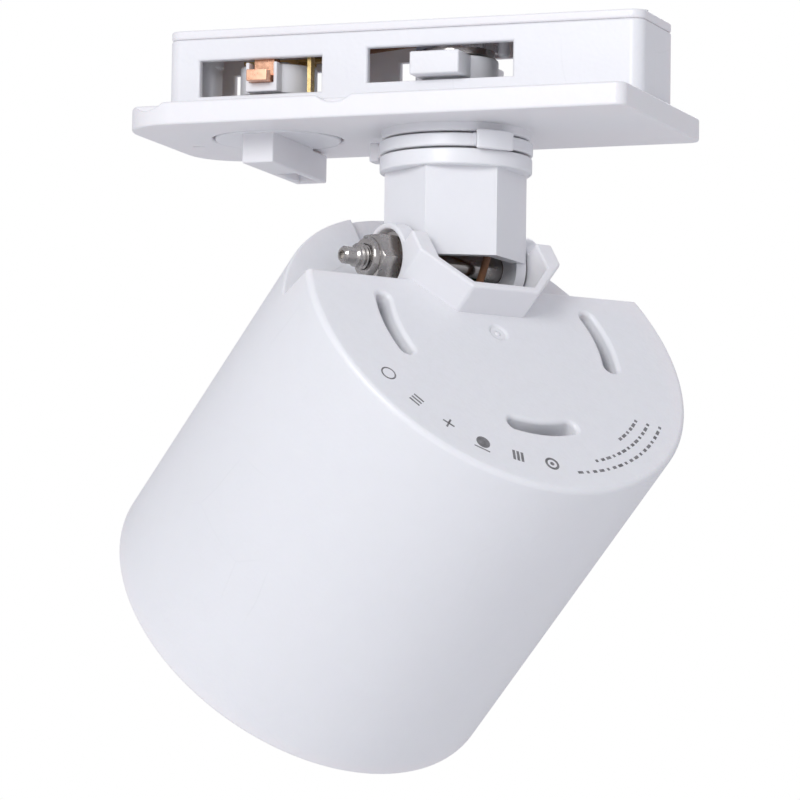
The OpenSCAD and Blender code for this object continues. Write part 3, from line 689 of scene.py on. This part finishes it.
def winding(name, colour, pitch=0.0004):
    """Enamelled copper wire lying in turns, with painted shade darkening the gaps between the turns."""
    material, tree, shader, coords = start_material(name, Coat_Weight=0.6, Coat_Roughness=0.15, Metallic=0.85)
    wave = node(tree, "ShaderNodeTexWave", (-900, -200), wave_type="BANDS", bands_direction="DIAGONAL",
                Scale=1 / pitch / 6, Distortion=1.2, Detail=1.0)
    tree.links.new(coords, wave.inputs["Vector"])
    tone = group(tree, "mottle", coords, (-900, 300), Scale=220.0, Contrast=1.6)
    base = mixed(tree, tone, shade(colour, 0.7), shade(colour, 1.15), (-600, 300))
    # painted shade: the bands darken the copper to about a third in the gaps between the turns
    tree.links.new(mixed(tree, wave.outputs["Fac"], shade(colour, 0.35), base, (-400, 300)),
                   shader.inputs["Base Color"])
    tree.links.new(ranged(tree, tone, 0.25, 0.4, (-600, 0)), shader.inputs["Roughness"])
    bumped(tree, shader, wave.outputs["Fac"], 0.0001)
    return material


def phosphor(name):
    """Yellow silicone over the chips, with a faint grid of dies underneath."""
    material, tree, shader, coords = start_material(name, Coat_Weight=0.7, Coat_Roughness=0.08,
                                                    Subsurface_Weight=0.1)
    dies = node(tree, "ShaderNodeTexVoronoi", (-900, 0), Scale=900.0, feature="F1", distance="CHEBYCHEV",
                Randomness=0.1)
    tree.links.new(coords, dies.inputs["Vector"])
    mask = ranged(tree, dies.outputs["Distance"], 1.0, 0.0, (-700, 0), (0.2, 0.4))
    tree.links.new(mixed(tree, mask, (0.95, 0.72, 0.12), (0.86, 0.55, 0.05), (-400, 200)),
                   shader.inputs["Base Color"])
    tone = group(tree, "mottle", coords, (-900, 300), Scale=260.0, Contrast=1.4)
    tree.links.new(ranged(tree, tone, 0.22, 0.36, (-600, -100)), shader.inputs["Roughness"])
    bumped(tree, shader, dies.outputs["Distance"], 0.00003, 0.4)
    return material


def glass(name):
    """Clear front lens with dust and fine scratches in its gloss."""
    material, tree, shader, coords = start_material(name, Transmission_Weight=1.0, IOR=1.46)
    tone = group(tree, "mottle", coords, (-900, 300), Scale=80.0, Contrast=1.4)
    scuff = group(tree, "scuffs", coords, (-900, 0), Scale=130.0, Amount=0.5)
    tree.links.new(mixed(tree, tone, (0.96, 0.975, 0.97), (0.99, 1.0, 0.995), (-600, 300)),
                   shader.inputs["Base Color"])
    worn = maths(tree, "MULTIPLY", scuff, 0.2, (-600, 0))
    tree.links.new(maths(tree, "ADD", ranged(tree, tone, 0.02, 0.06, (-600, -150)), worn, (-400, 0)),
                   shader.inputs["Roughness"])
    bumped(tree, shader, tone, 0.00001, 0.2)
    return material


def ink(name, colour):
    """Pad-printed ink, a little uneven."""
    material, tree, shader, coords = start_material(name)
    tone = group(tree, "mottle", coords, (-900, 300), Scale=900.0, Contrast=2.6)
    tree.links.new(mixed(tree, tone, shade(colour, 0.7), shade(colour, 2.4), (-600, 300)),
                   shader.inputs["Base Color"])
    tree.links.new(ranged(tree, tone, 0.45, 0.65, (-600, 0)), shader.inputs["Roughness"])
    bumped(tree, shader, tone, 0.00001, 0.5)
    return material


def recipes():
    """One recipe per material slot of the record, and one for the printed marks."""
    colours = bpy.context.scene.spotlight_colours
    shell = tuple(colours.shell)
    return {
        "white_plastic": lambda n: plastic(n, shell, Coat_Weight=0.25, Coat_Roughness=0.3, IOR=1.5,
                                           Subsurface_Weight=0.05),
        "natural_plastic": lambda n: plastic(n, (0.8, 0.78, 0.72), 0.5, 1000.0, Subsurface_Weight=0.08),
        "zinc_steel": lambda n: metal(n, (0.74, 0.75, 0.77), (0.58, 0.6, 0.63), 0.3),
        "stainless_steel": lambda n: metal(n, (0.56, 0.54, 0.52), (0.3, 0.285, 0.275), 0.2, 1400.0, 0.08),
        "brass": lambda n: metal(n, (0.86, 0.68, 0.34), (0.66, 0.47, 0.18), 0.27),
        "copper": lambda n: metal(n, (0.92, 0.56, 0.4), (0.66, 0.34, 0.2), 0.26),
        "brown_insulation": lambda n: insulation(n, (0.24, 0.11, 0.05)),
        "blue_insulation": lambda n: insulation(n, (0.05, 0.13, 0.42)),
        "red_insulation": lambda n: insulation(n, (0.5, 0.03, 0.025)),
        "black_plastic": lambda n: plastic(n, (0.03, 0.03, 0.032), 0.42, 1800.0),
        "grey_fibre": lambda n: plastic(n, (0.2, 0.2, 0.205), 0.7, 2600.0, 0.00005, 0.8),
        "board_green": lambda n: board_finish(n, tuple(colours.board), (0.05, 0.26, 0.1)),
        "board_white": lambda n: board_finish(n, (0.75, 0.76, 0.74), (0.68, 0.68, 0.64)),
        "tape_yellow": lambda n: plastic(n, (0.78, 0.58, 0.1), 0.32, 900.0),
        "sleeve_blue": lambda n: plastic(n, (0.02, 0.035, 0.12), 0.25, 900.0, Coat_Weight=0.4),
        "enamel_wire": lambda n: winding(n, (0.72, 0.3, 0.12)),
        "aluminium": lambda n: metal(n, (0.86, 0.87, 0.88), (0.7, 0.71, 0.73), 0.36, 700.0),
        "phosphor": phosphor,
        "reflector_metal": lambda n: metal(n, (0.93, 0.93, 0.94), (0.86, 0.86, 0.88), 0.16, 500.0, 0.2),
        "clear_lens": glass,
        "mark_ink": lambda n: ink(n, tuple(colours.ink)),
    }


def finish_of(slot):
    """The material of a slot, built the first time that it is asked for."""
    name = "finish_" + slot
    return bpy.data.materials.get(name) or recipes()[slot](name)


# ---------- pieces ----------

class SPOTLIGHT_OT_frame_finishes(bpy.types.Operator):
    """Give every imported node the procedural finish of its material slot"""

    bl_idname = "spotlight.frame_finishes"
    bl_label = "Frame finishes"

    def execute(self, context):
        for part in frame["record"]["subparts"]:
            slots = frame["nodes"][part["node"]].material_slots
            if not slots:
                raise RuntimeError(part["node"] + " has no material slot")
            for material_slot in slots:
                material_slot.material = finish_of(part["material_slot"])
        return {"FINISHED"}


class SPOTLIGHT_OT_housing(bpy.types.Operator):
    """Build the cup-shaped housing with its notch, cradle, ears and vent slots"""

    bl_idname = "spotlight.housing"
    bl_label = "Housing"

    head_r = 32.5
    head_l = 66.0
    cavity_r = 30.5
    back_t = 2.4
    wall = 2.0
    notch_v = 9.8
    notch_u = 8.2
    cradle_h = 5.6
    cradle_t = 1.3
    ear_in = 10.1
    ear_out = 13.1
    ear_r = 5.6
    nut_sink = 1.6
    bolt_r = 2.08

    def notch_tool(self, grow):
        """Prism that clears the stepped notch, grown by a wall."""
        v, u = self.notch_v - grow, self.notch_u + grow
        return prism([(v, -20), (v, grow * 0.2), (v + 2.4, u), (70, u), (70, -20)], -65, 65, "Y")

    def cradle_outline(self, grow, end):
        """Plan of the cradle, grown by a wall thickness and cut off at an end."""
        v = 4.93 - grow
        w = 5.6 + 0.42 * grow
        rise = self.ear_out - w
        return [(v, -w), (v + rise, -self.ear_out), (end, -self.ear_out),
                (end, self.ear_out), (v + rise, self.ear_out), (v, w)]

    def shell(self):
        """Outer cup less its cavity, with the step for the notch left solid."""
        sizes = bpy.context.scene.spotlight_sizes
        cup = lathe([(0, 0), (self.head_r, 0), (self.head_r, self.head_l), (0, self.head_l)])
        cup = eased(cup, sizes.rim_round, lambda p: p.z < 1, 6)
        cup = eased(cup, sizes.mouth_round, lambda p: p.z > self.head_l - 1, 4)
        cavity = drum(self.cavity_r, self.back_t, self.head_l + 4, ROUND)
        cavity = combined(cavity, self.notch_tool(self.wall))
        for angle in (60, 180, 300):
            a = math.radians(angle)
            post = drum(3, 0, 37, 24)
            cavity = combined(cavity, shifted(post, 27 * math.cos(a), 27 * math.sin(a), 0))
        for side in (-1, 1):
            cavity = combined(cavity, shifted(drum(2.6, 0, 20, 24), -8, side * 20, 0))
            cavity = combined(cavity, shifted(drum(2.4, 0, 11.6, 24), -6, side * 6.6, 0))
        cavity = combined(cavity, block((-9, -3.6, 0), (-3, 3.6, 11.4)))
        cup = combined(cup, cavity)
        return combined(cup, self.notch_tool(0))

    def ears(self, cup):
        """Cradle walls and the two ears that the bolt passes through."""
        top = self.notch_u + self.wall
        cup = combined(cup, prism(self.cradle_outline(self.cradle_t, PIVOT_V - 1.4), -self.cradle_h, top), "UNION")
        for side in (-1, 1):
            low, high = sorted((side * self.ear_in, side * self.ear_out))
            plate = combined(sideways(drum(self.ear_r, low, high, 48), 0, 0, 0),
                             block((-self.ear_r, -high, 0), (self.ear_r, -low, top - PIVOT_U)), "UNION")
            cup = combined(cup, shifted(plate, PIVOT_V, 0, PIVOT_U), "UNION")
        return cup

    def openings(self, cup):
        """Well for the neck, bolt bore, nut pocket, slots, gate mark and pilot holes."""
        top = self.notch_u + self.wall + 1
        inner = combined(prism(self.cradle_outline(0, PIVOT_V + 2), -20, top),
                         block((0, -self.ear_in, -30), (PIVOT_V + 9, self.ear_in, top + 5)), "INTERSECT")
        cup = combined(cup, inner)
        cup = combined(cup, block((PIVOT_V - 1, -self.ear_in, -20), (PIVOT_V + 6.8, self.ear_in, top)))
        cup = combined(cup, block((PIVOT_V - 1, -self.ear_in, -20), (70, self.ear_in, self.notch_u + 1.2)))
        cup = combined(cup, sideways(drum(self.bolt_r, -30, 30, 40), PIVOT_V, 0, PIVOT_U))
        pocket = sideways(drum(4.6, 0, 10, 56), PIVOT_V, self.nut_sink - self.ear_out, PIVOT_U)
        cup = combined(cup, pocket)
        for angle in (90, 180, 270):
            turn = Matrix.Rotation(math.radians(angle), 4, "Z")
            collar = placed(prism(kidney(19.7, 15, 2.3), self.back_t - 0.5, 5), turn)
            cup = combined(cup, collar, "UNION")
            cup = combined(cup, placed(prism(kidney(19.7, 15, 1.15), -1, 7), turn))
        dish = lathe([(0, -1), (1.5, -1), (1.5, 0), (1.25, 0.3), (0.5, 0.35), (0.4, 0.12), (0, 0.12)], 32)
        cup = combined(cup, dish)
        for angle in (60, 180, 300):
            a = math.radians(angle)
            cup = combined(cup, shifted(drum(1.2, 28, 40, 16), 27 * math.cos(a), 27 * math.sin(a), 0))
        return cup

    def execute(self, context):
        sizes = context.scene.spotlight_sizes
        cup = self.openings(self.ears(self.shell()))
        in_slot = lambda p: abs(p.z) < 0.01 and 17.5 < math.hypot(p.x, p.y) < 22 and p.x < 9
        rim_end = lambda p: math.hypot(p.x, p.y) > self.head_r - 1.2 and p.z < 1.1
        outside = lambda p: p.z < self.notch_u + 0.5 and not rim_end(p) and not (
            p.z > self.back_t - 0.1 and math.hypot(p.x, p.y) < self.cavity_r - 1 and p.x < self.notch_v)
        cup = eased(cup, sizes.slot_lip, in_slot, 4)
        cup = eased(cup, sizes.step_round, outside, 3)
        finish_piece("housing_shell", cup, HEAD, "head", "white_plastic", ["housing"])
        return {"FINISHED"}


class SPOTLIGHT_OT_marks(bpy.types.Operator):
    """Print the row of plain marks round the rear face's edge"""

    bl_idname = "spotlight.marks"
    bl_label = "Printed marks"

    pitch_r = 27.2
    ink_t = 0.02

    def at(self, bm, angle, radius):
        """Lays a flat mark on the rear face at a polar place, turned to follow the rim."""
        bmesh.ops.translate(bm, vec=(radius, 0, 0), verts=bm.verts)
        bmesh.ops.rotate(bm, verts=bm.verts, matrix=Matrix.Rotation(math.radians(angle), 3, "Z"))
        return bm

    def ring(self, outer, inner):
        """Flat ring."""
        return lathe([(inner, -self.ink_t), (outer, -self.ink_t), (outer, 0.05), (inner, 0.05)], 32)

    def bar(self, length, width, x=0.0, y=0.0):
        """Flat bar, its length along the rim."""
        return shifted(block((-width / 2, -length / 2, -self.ink_t), (width / 2, length / 2, 0.05)), x, y, 0)

    def execute(self, context):
        signs = [
            lambda: [self.ring(1.25, 1.0)],
            lambda: [self.bar(1.9, 0.3, x) for x in (-0.7, 0, 0.7)],
            lambda: [self.bar(2.0, 0.3), self.bar(0.3, 2.0)],
            lambda: [self.ring(1.15, 0.0001), self.bar(2.6, 0.25, 1.5)],
            lambda: [self.bar(0.45, 2.0, 0, y) for y in (-0.7, 0, 0.7)],
            lambda: [self.ring(1.2, 0.8), self.ring(0.35, 0.0001)],
        ]
        marks = []
        for index, sign in enumerate(signs):
            marks += [self.at(bm, 246 - 12.4 * index, self.pitch_r) for bm in sign()]
        for line, (radius, count) in enumerate(((28.6, 17), (26.7, 13), (24.8, 6))):
            for k in range(count):
                length = 0.5 + 0.25 * ((k * 5 + line * 3) % 3)
                dash = self.bar(length, 0.5)
                marks.append(self.at(dash, 128 + line * 2 + k * 2.9, radius))
        finish_piece("printed_marks", joined(*marks), HEAD, "head", "mark_ink",
                     weighted=False)
        return {"FINISHED"}


class SPOTLIGHT_OT_soft_edges(bpy.types.Operator):
    """Rebuild the moulded and stamped parts with rounded edges"""

    bl_idname = "spotlight.soft_edges"
    bl_label = "Rounded parts"

    def execute(self, context):
        sizes = context.scene.spotlight_sizes
        parts = [
            ("adapter_base", "adapter_plate", ADAPTER, "adapter", sizes.plate_round),
            ("adapter_cover", "adapter_lid", ADAPTER, "adapter", 0.3),
            ("contact_lever", "contact_knob", ADAPTER, "contact_lever", 0.3),
            ("contact_carrier", "contact_holder", ADAPTER, "contact_lever", 0.2),
            ("lock_ring", "lock_collar", ADAPTER, "lock_ring", 0.35),
            ("lock_cam", "lock_lugs", ADAPTER, "lock_ring", 0.3),
            ("neck", "neck_body", NECK, "neck", 0.35),
            ("live_contact", "live_blade", ADAPTER, "contact_lever", 0.12),
            ("neutral_contact", "neutral_blade", ADAPTER, "contact_lever", 0.12),
        ]
        slots = {p["node"]: p["material_slot"] for p in frame["record"]["subparts"]}
        above_cut = lambda p: p.z > -12
        for source, name, place, body, width in parts:
            bm = eased(cad_copy(source, place), width, above_cut if source == "neck" else None)
            finish_piece(name, bm, place, body, slots[source], [source])
        return {"FINISHED"}


class SPOTLIGHT_OT_pivot(bpy.types.Operator):
    """Build the threaded pivot bolt, its nut and its washers"""

    bl_idname = "spotlight.pivot"
    bl_label = "Pivot bolt"

    bolt_r = 2.0
    head_side = 13.1
    nut_side = 11.5
    washer_t = 0.5
    nut_t = 5.0

    def nut(self):
        """Locking nut: hexagon with chamfered corners, a collar and a plain bore."""
        body = placed(drum(3.5 / math.cos(math.pi / 6), 0, self.nut_t, 6), Matrix.Rotation(math.radians(20), 4, "Z"))
        cone = lathe([(0, 0), (3.5, 0), (4.2, 0.4), (4.2, 3.5), (3.5, 3.9), (3.1, 4.0), (3.05, 4.7),
                      (2.7, self.nut_t), (0, self.nut_t)], 64)
        body = combined(body, cone, "INTERSECT")
        body = combined(body, drum(self.bolt_r, -1, self.nut_t + 1, 40))
        return eased(body, 0.1, segments=2, angle=40)

    def cross_head(self, low):
        """Rounded screw head with a cross recess, its underside at the given height."""
        dome = lathe([(0, low - 2.2), (2.2, low - 2.2), (3.2, low - 1.8), (3.7, low - 1.0), (3.7, low - 0.15),
                      (3.5, low), (0, low)], 56)
        dome = combined(dome, block((-0.5, -2.2, low - 4), (0.5, 2.2, low - 1.3)))
        dome = combined(dome, block((-2.2, -0.5, low - 4), (2.2, 0.5, low - 1.3)))
        return eased(dome, 0.1, segments=2)

    def execute(self, context):
        pitch = context.scene.spotlight_sizes.thread_pitch
        head_low = -self.head_side - self.washer_t
        nut_low = self.nut_side + self.washer_t
        end = nut_low + self.nut_t + 2
        root = self.bolt_r - 0.32
        shank = lathe([(0, head_low), (self.bolt_r, head_low), (self.bolt_r, 9.0), (root, 9.5),
                       (root, end - 0.35), (1.35, end), (1.35, end + 1.6), (1.05, end + 1.95), (0, end + 1.95)], 40)
        shank = combined(shank, drum(0.75, end + 1.2, end + 3, 6))
        ridge = thread(root, 0.3, pitch, 9.5, end - 0.1)
        finish_piece("pivot_screw", joined(shank, ridge, self.cross_head(head_low)), BOLT, "head",
                     "stainless_steel", ["pivot_bolt"])
        finish_piece("pivot_hex_nut", shifted(self.nut(), 0, 0, nut_low), BOLT, "head", "stainless_steel",
                     ["pivot_nut"])
        rings = [shifted(lathe([(2.08, 0), (4.3, 0), (4.4, 0.1), (4.4, 0.4), (4.3, 0.5), (2.08, 0.5)], 56), 0, 0, z)
                 for z in (self.nut_side, head_low)]
        finish_piece("pivot_flat_washers", joined(*rings), BOLT, "head", "stainless_steel", ["pivot_washers"])
        return {"FINISHED"}


class SPOTLIGHT_OT_wiring(bpy.types.Operator):
    """Run the live and neutral wires from the adapter through the neck into the head"""

    bl_idname = "spotlight.wiring"
    bl_label = "Wiring"

    radius = 0.6
    lever_x = -29.5
    meet_z = -10.6

    def upper(self, side):
        """From a wiper down through the nipple, in the adapter's frame."""
        return [(self.lever_x + 3, side * 5.1, 10.4), (self.lever_x + 8, side * 5.1, 10.4), (-16, side * 4, 10.7),
                (-8, side * 1.7, 10.9), (-3, side * 1.2, 10.9), (-1, side * 1.1, 10.6), (-0.2, side * 1.1, 9.2),
                (0, side * 1.1, 6), (0, side * 1.1, 1), (0, side * 1.1, -5), (0, side * 1.1, self.meet_z)]

    def lower(self, side, x_end, head_start):
        """From the nipple past the bolt into the terminal block, in the row frame's metres."""
        neck = [(0, side * 1.1, self.meet_z), (0.3 * x_end, side * 1.6, -14.1),
                (0.85 * x_end, side * 2.5, -18.9), (x_end, side * 2.9, -21.8)]
        clamp = [(2, -side * 2, 11.9), (-2, -side * 1.6, 12.1), (-10, -side * 1.6, 12.1),
                 (-12.6, -side * 2.6, 12.3), (-13.7, -side * 3, 13.3), (-14, -side * 3, 15)]
        return [NECK @ Vector(p) for p in neck] + [HEAD @ Vector(p) for p in head_start + clamp]

    def execute(self, context):
        runs = [
            ("live", "brown_insulation", -1, -4.9, [(12.2, 2.9, 2.8), (10.6, 2.9, 6.4), (7, 2.6, 9.8)]),
            ("neutral", "blue_insulation", 1, 4.7, [(19.2, -2.9, 8), (16.4, -2.9, 10.4), (9, -2.6, 11.7)]),
        ]
        for name, finish, side, x_end, head_start in runs:
            adapter_side = -side
            upper = tube(curve_points(self.upper(adapter_side), 6), self.radius)
            piece = finish_piece(name + "_wire_upper", upper, ADAPTER, None, finish,
                                 [f"adapter_{name}_wire"], weighted=False)
            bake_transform(piece)
            path = [p / MM for p in self.lower(side, x_end, head_start)]
            lower = tube(curve_points(path, 6), self.radius)
            piece = finish_piece(name + "_wire_lower", lower, ADAPTER, None, finish,
                                 [f"neck_{name}_wire", f"head_{name}_wire"], weighted=False)
            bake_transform(piece)
        return {"FINISHED"}


class SPOTLIGHT_OT_optics(bpy.types.Operator):
    """Build the reflector, lens, front ring, emitter and its holder"""

    bl_idname = "spotlight.optics"
    bl_label = "Optics"

    led_u = 40.4
    lens_u = 62.6
    head_l = 66.0

    def bowl(self):
        """Reflector whose radius grows with the square root of the distance, 0.9 mm thick."""
        low, high = self.led_u + 3.3, self.lens_u - 0.3
        throat, mouth = 7.6, 26.5
        steps = 20
        inner = [(math.sqrt(throat ** 2 + (mouth ** 2 - throat ** 2) * k / steps), low + (high - low) * k / steps)
                 for k in range(steps + 1)]
        outer = [(r + 0.9, z) for r, z in reversed(inner)]
        return lathe(inner + outer, 96)

    def execute(self, context):
        finish_piece("reflector_bowl", self.bowl(), HEAD, "head", "reflector_metal", ["reflector"], sharp=50)
        lens = eased(lathe([(0, 0), (28.4, 0), (28.4, 1.6), (0, 1.6)]), 0.25, segments=2)
        finish_piece("lens_disc", shifted(lens, 0, 0, self.lens_u), HEAD, "head", "clear_lens", ["front_lens"])
        low, high = self.head_l - 11, self.head_l - 0.8
        bezel = lathe([(28.5, low), (30.46, low), (30.46, high), (26.6, high), (26.6, high - 0.95), (28.5, high - 1.0)])
        bezel = eased(bezel, 0.4, lambda p: p.z > high - 0.1, 4)
        finish_piece("bezel_ring", bezel, HEAD, "head", "white_plastic", ["front_bezel"])
        dome = lathe([(0, 0), (5.6, 0), (5.6, 0.22), (5.2, 0.5), (4.7, 0.36), (0, 0.4)], 64)
        finish_piece("emitter_dome", shifted(dome, 0, 0, self.led_u + 1.4), HEAD, "head", "phosphor", ["led_emitter"],
                     sharp=60)
        holder = eased(cad_copy("led_holder", HEAD), 0.35, lambda p: p.z > self.led_u + 2, 3)
        finish_piece("emitter_holder", holder, HEAD, "head", "white_plastic", ["led_holder"])
        return {"FINISHED"}


class SPOTLIGHT_OT_driver(bpy.types.Operator):
    """Build the driver's transformer, capacitors and inductor, and the finned heat sink"""

    bl_idname = "spotlight.driver"
    bl_label = "Driver and heat sink"

    base = 21.6

    def capacitor(self, x, y, radius, height):
        """Sleeved can with a crimp ring and a scored vent."""
        can = lathe([(0, 0), (radius - 0.15, 0), (radius, 0.3), (radius, 0.9), (radius - 0.25, 1.2), (radius, 1.5),
                     (radius, height - 0.3), (radius - 0.3, height), (radius - 0.7, height),
                     (radius - 0.8, height - 0.12), (0, height - 0.12)], 40)
        for size in ((radius, 0.12), (0.12, radius)):
            can = combined(can, block((-size[0] / 2, -size[1] / 2, height - 0.3), (size[0] / 2, size[1] / 2, height)))
        return shifted(can, x, y, self.base)

    def execute(self, context):
        cans = [self.capacitor(-15, 8.5, 4, 7.8), self.capacitor(-15, -8.5, 4, 7.8),
                self.capacitor(11.5, 13, 2.5, 7)]
        finish_piece("capacitor_cans", joined(*cans), HEAD, "head", "sleeve_blue", ["capacitors"])
        spool = lathe([(0, 0), (3.8, 0), (3.8, 0.9), (2.4, 0.9), (2.4, 4.9), (3.8, 4.9), (3.8, 5.8), (0, 5.8)], 40)
        coil = tube(helix(2.7, 0.42, 9, 1.15, 20), 0.2, 8)
        coil = shifted(joined(spool, coil), -10.4, 0, self.base)
        finish_piece("choke_coil", coil, HEAD, "head", "enamel_wire", ["inductor"], weighted=False)
        bobbin = joined(eased(block((-6.5, -7, 0), (6.5, 7, 1.4)), 0.25), eased(block((-5, -5.6, 1.3), (5, 5.6, 6.1)), 1.2, segments=4),
                        eased(block((-6.5, -7, 6), (6.5, 7, 7.2)), 0.25))
        finish_piece("transformer_core", shifted(bobbin, 2, 0, self.base), HEAD, "head", "tape_yellow",
                     ["transformer"])
        sink = eased(cad_copy("heat_sink", HEAD), 0.2, lambda p: p.z < 30.2, 2)
        finish_piece("finned_sink", sink, HEAD, "head", "aluminium", ["heat_sink"])
        return {"FINISHED"}


class SPOTLIGHT_OT_stage(bpy.types.Operator):
    """Set the camera, the pale floor and the soft light"""

    bl_idname = "spotlight.stage"
    bl_label = "Stage"

    def look(self, thing, target, roll=0.0):
        """Turns a camera or light towards a point."""
        aim = (Vector(target) - thing.location).to_track_quat("-Z", "Y")
        thing.rotation_mode = "QUATERNION"
        thing.rotation_quaternion = aim @ Matrix.Rotation(roll, 3, "Z").to_quaternion()

    def area(self, name, place, target, size, power, colour):
        """Square soft light."""
        data = bpy.data.lights.new(name, "AREA")
        data.shape = "DISK"
        data.size = size
        data.energy = power
        data.color = colour
        light = bpy.data.objects.new(name, data)
        light.location = place
        bpy.context.scene.collection.objects.link(light)
        self.look(light, target)

    def surround(self, strength):
        """Even light all round, seen by the camera as plain white."""
        world = bpy.data.worlds.new("surround")
        bpy.context.scene.world = world
        world.use_nodes = True
        tree = world.node_tree
        lit = tree.nodes["Background"]
        lit.inputs["Color"].default_value = (0.95, 0.94, 1.0, 1.0)
        lit.inputs["Strength"].default_value = strength
        plain = node(tree, "ShaderNodeBackground", (0, -200), Color=(1.0, 1.0, 1.0, 1.0), Strength=1.0)
        ray = node(tree, "ShaderNodeLightPath", (-200, 300))
        mix = node(tree, "ShaderNodeMixShader", (250, 0))
        tree.links.new(ray.outputs["Is Camera Ray"], mix.inputs[0])
        tree.links.new(lit.outputs[0], mix.inputs[1])
        tree.links.new(plain.outputs[0], mix.inputs[2])
        tree.links.new(mix.outputs[0], tree.nodes["World Output"].inputs["Surface"])

    def floor(self, height):
        """Wide pale floor with a faint grain."""
        bm = bmesh.new()
        bmesh.ops.create_circle(bm, cap_ends=True, segments=64, radius=6)
        bmesh.ops.translate(bm, vec=(0, 0, height), verts=bm.verts)
        mesh = bpy.data.meshes.new("floor")
        bm.to_mesh(mesh)
        bm.free()
        plate = bpy.data.objects.new("floor", mesh)
        bpy.context.scene.collection.objects.link(plate)
        material, tree, shader, coords = start_material("floor_paint")
        tone = group(tree, "mottle", coords, (-900, 300), Scale=3.0, Contrast=1.0)
        tree.links.new(mixed(tree, tone, (0.86, 0.86, 0.87), (0.9, 0.9, 0.905), (-600, 300)),
                       shader.inputs["Base Color"])
        tree.links.new(ranged(tree, tone, 0.7, 0.85, (-600, 0)), shader.inputs["Roughness"])
        mesh.materials.append(material)

    def execute(self, context):
        setup = context.scene.spotlight_stage
        low, high = (Vector(corner) for corner in CAD_BOX)
        centre = (low + high) / 2
        data = bpy.data.cameras.new("camera")
        data.lens = setup.lens
        data.sensor_width = 36
        camera = bpy.data.objects.new("camera", data)
        camera.location = setup.eye
        context.scene.collection.objects.link(camera)
        self.look(camera, centre, setup.roll)
        context.scene.camera = camera
        self.surround(setup.sky)
        self.floor(low.z - 0.25)
        self.area("key_light", (-0.05, -1.03, 0.28), centre, 0.45, setup.key, (1.0, 0.99, 0.99))
        self.area("fill_light", (0.9, -0.7, -0.1), centre, 0.8, setup.key * 0.08, (0.95, 0.94, 1.0))
        self.area("back_light", (-0.2, 1.0, 0.5), centre, 0.6, setup.key * 0.3, (0.97, 0.97, 1.0))
        context.scene.view_settings.view_transform = "Standard"
        return {"FINISHED"}


class SPOTLIGHT_PT_panel(bpy.types.Panel):
    """Lists the builders of the spotlight's pieces and their settings"""

    bl_label = "Track Spotlight"
    bl_idname = "SPOTLIGHT_PT_panel"
    bl_space_type = "VIEW_3D"
    bl_region_type = "UI"
    bl_category = "Spotlight"

    def draw(self, context):
        for settings in (context.scene.spotlight_sizes, context.scene.spotlight_colours,
                         context.scene.spotlight_stage):
            box = self.layout.box()
            for name in settings.__annotations__:
                box.prop(settings, name)
        for operator in BUILDERS:
            self.layout.operator(operator.bl_idname)


SETTINGS = {"spotlight_sizes": SpotlightSizes, "spotlight_colours": SpotlightColours,
            "spotlight_stage": SpotlightStage}
BUILDERS = [SPOTLIGHT_OT_frame_finishes, SPOTLIGHT_OT_stage, SPOTLIGHT_OT_housing, SPOTLIGHT_OT_marks,
            SPOTLIGHT_OT_soft_edges, SPOTLIGHT_OT_pivot, SPOTLIGHT_OT_wiring, SPOTLIGHT_OT_optics,
            SPOTLIGHT_OT_driver]


def register():
    """Registers the settings, operators and panel."""
    for name, kind in SETTINGS.items():
        bpy.utils.register_class(kind)
        setattr(bpy.types.Scene, name, bpy.props.PointerProperty(type=kind))
    for kind in BUILDERS + [SPOTLIGHT_PT_panel]:
        bpy.utils.register_class(kind)


def unregister():
    """Takes everything out again."""
    for kind in reversed(BUILDERS + [SPOTLIGHT_PT_panel]):
        bpy.utils.unregister_class(kind)
    for name, kind in SETTINGS.items():
        delattr(bpy.types.Scene, name)
        bpy.utils.unregister_class(kind)


def main():
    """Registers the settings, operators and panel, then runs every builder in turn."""
    register()
    for builder in BUILDERS:
        area, name = builder.bl_idname.split(".")
        getattr(getattr(bpy.ops, area), name)()


if __name__ == "__main__":
    main()
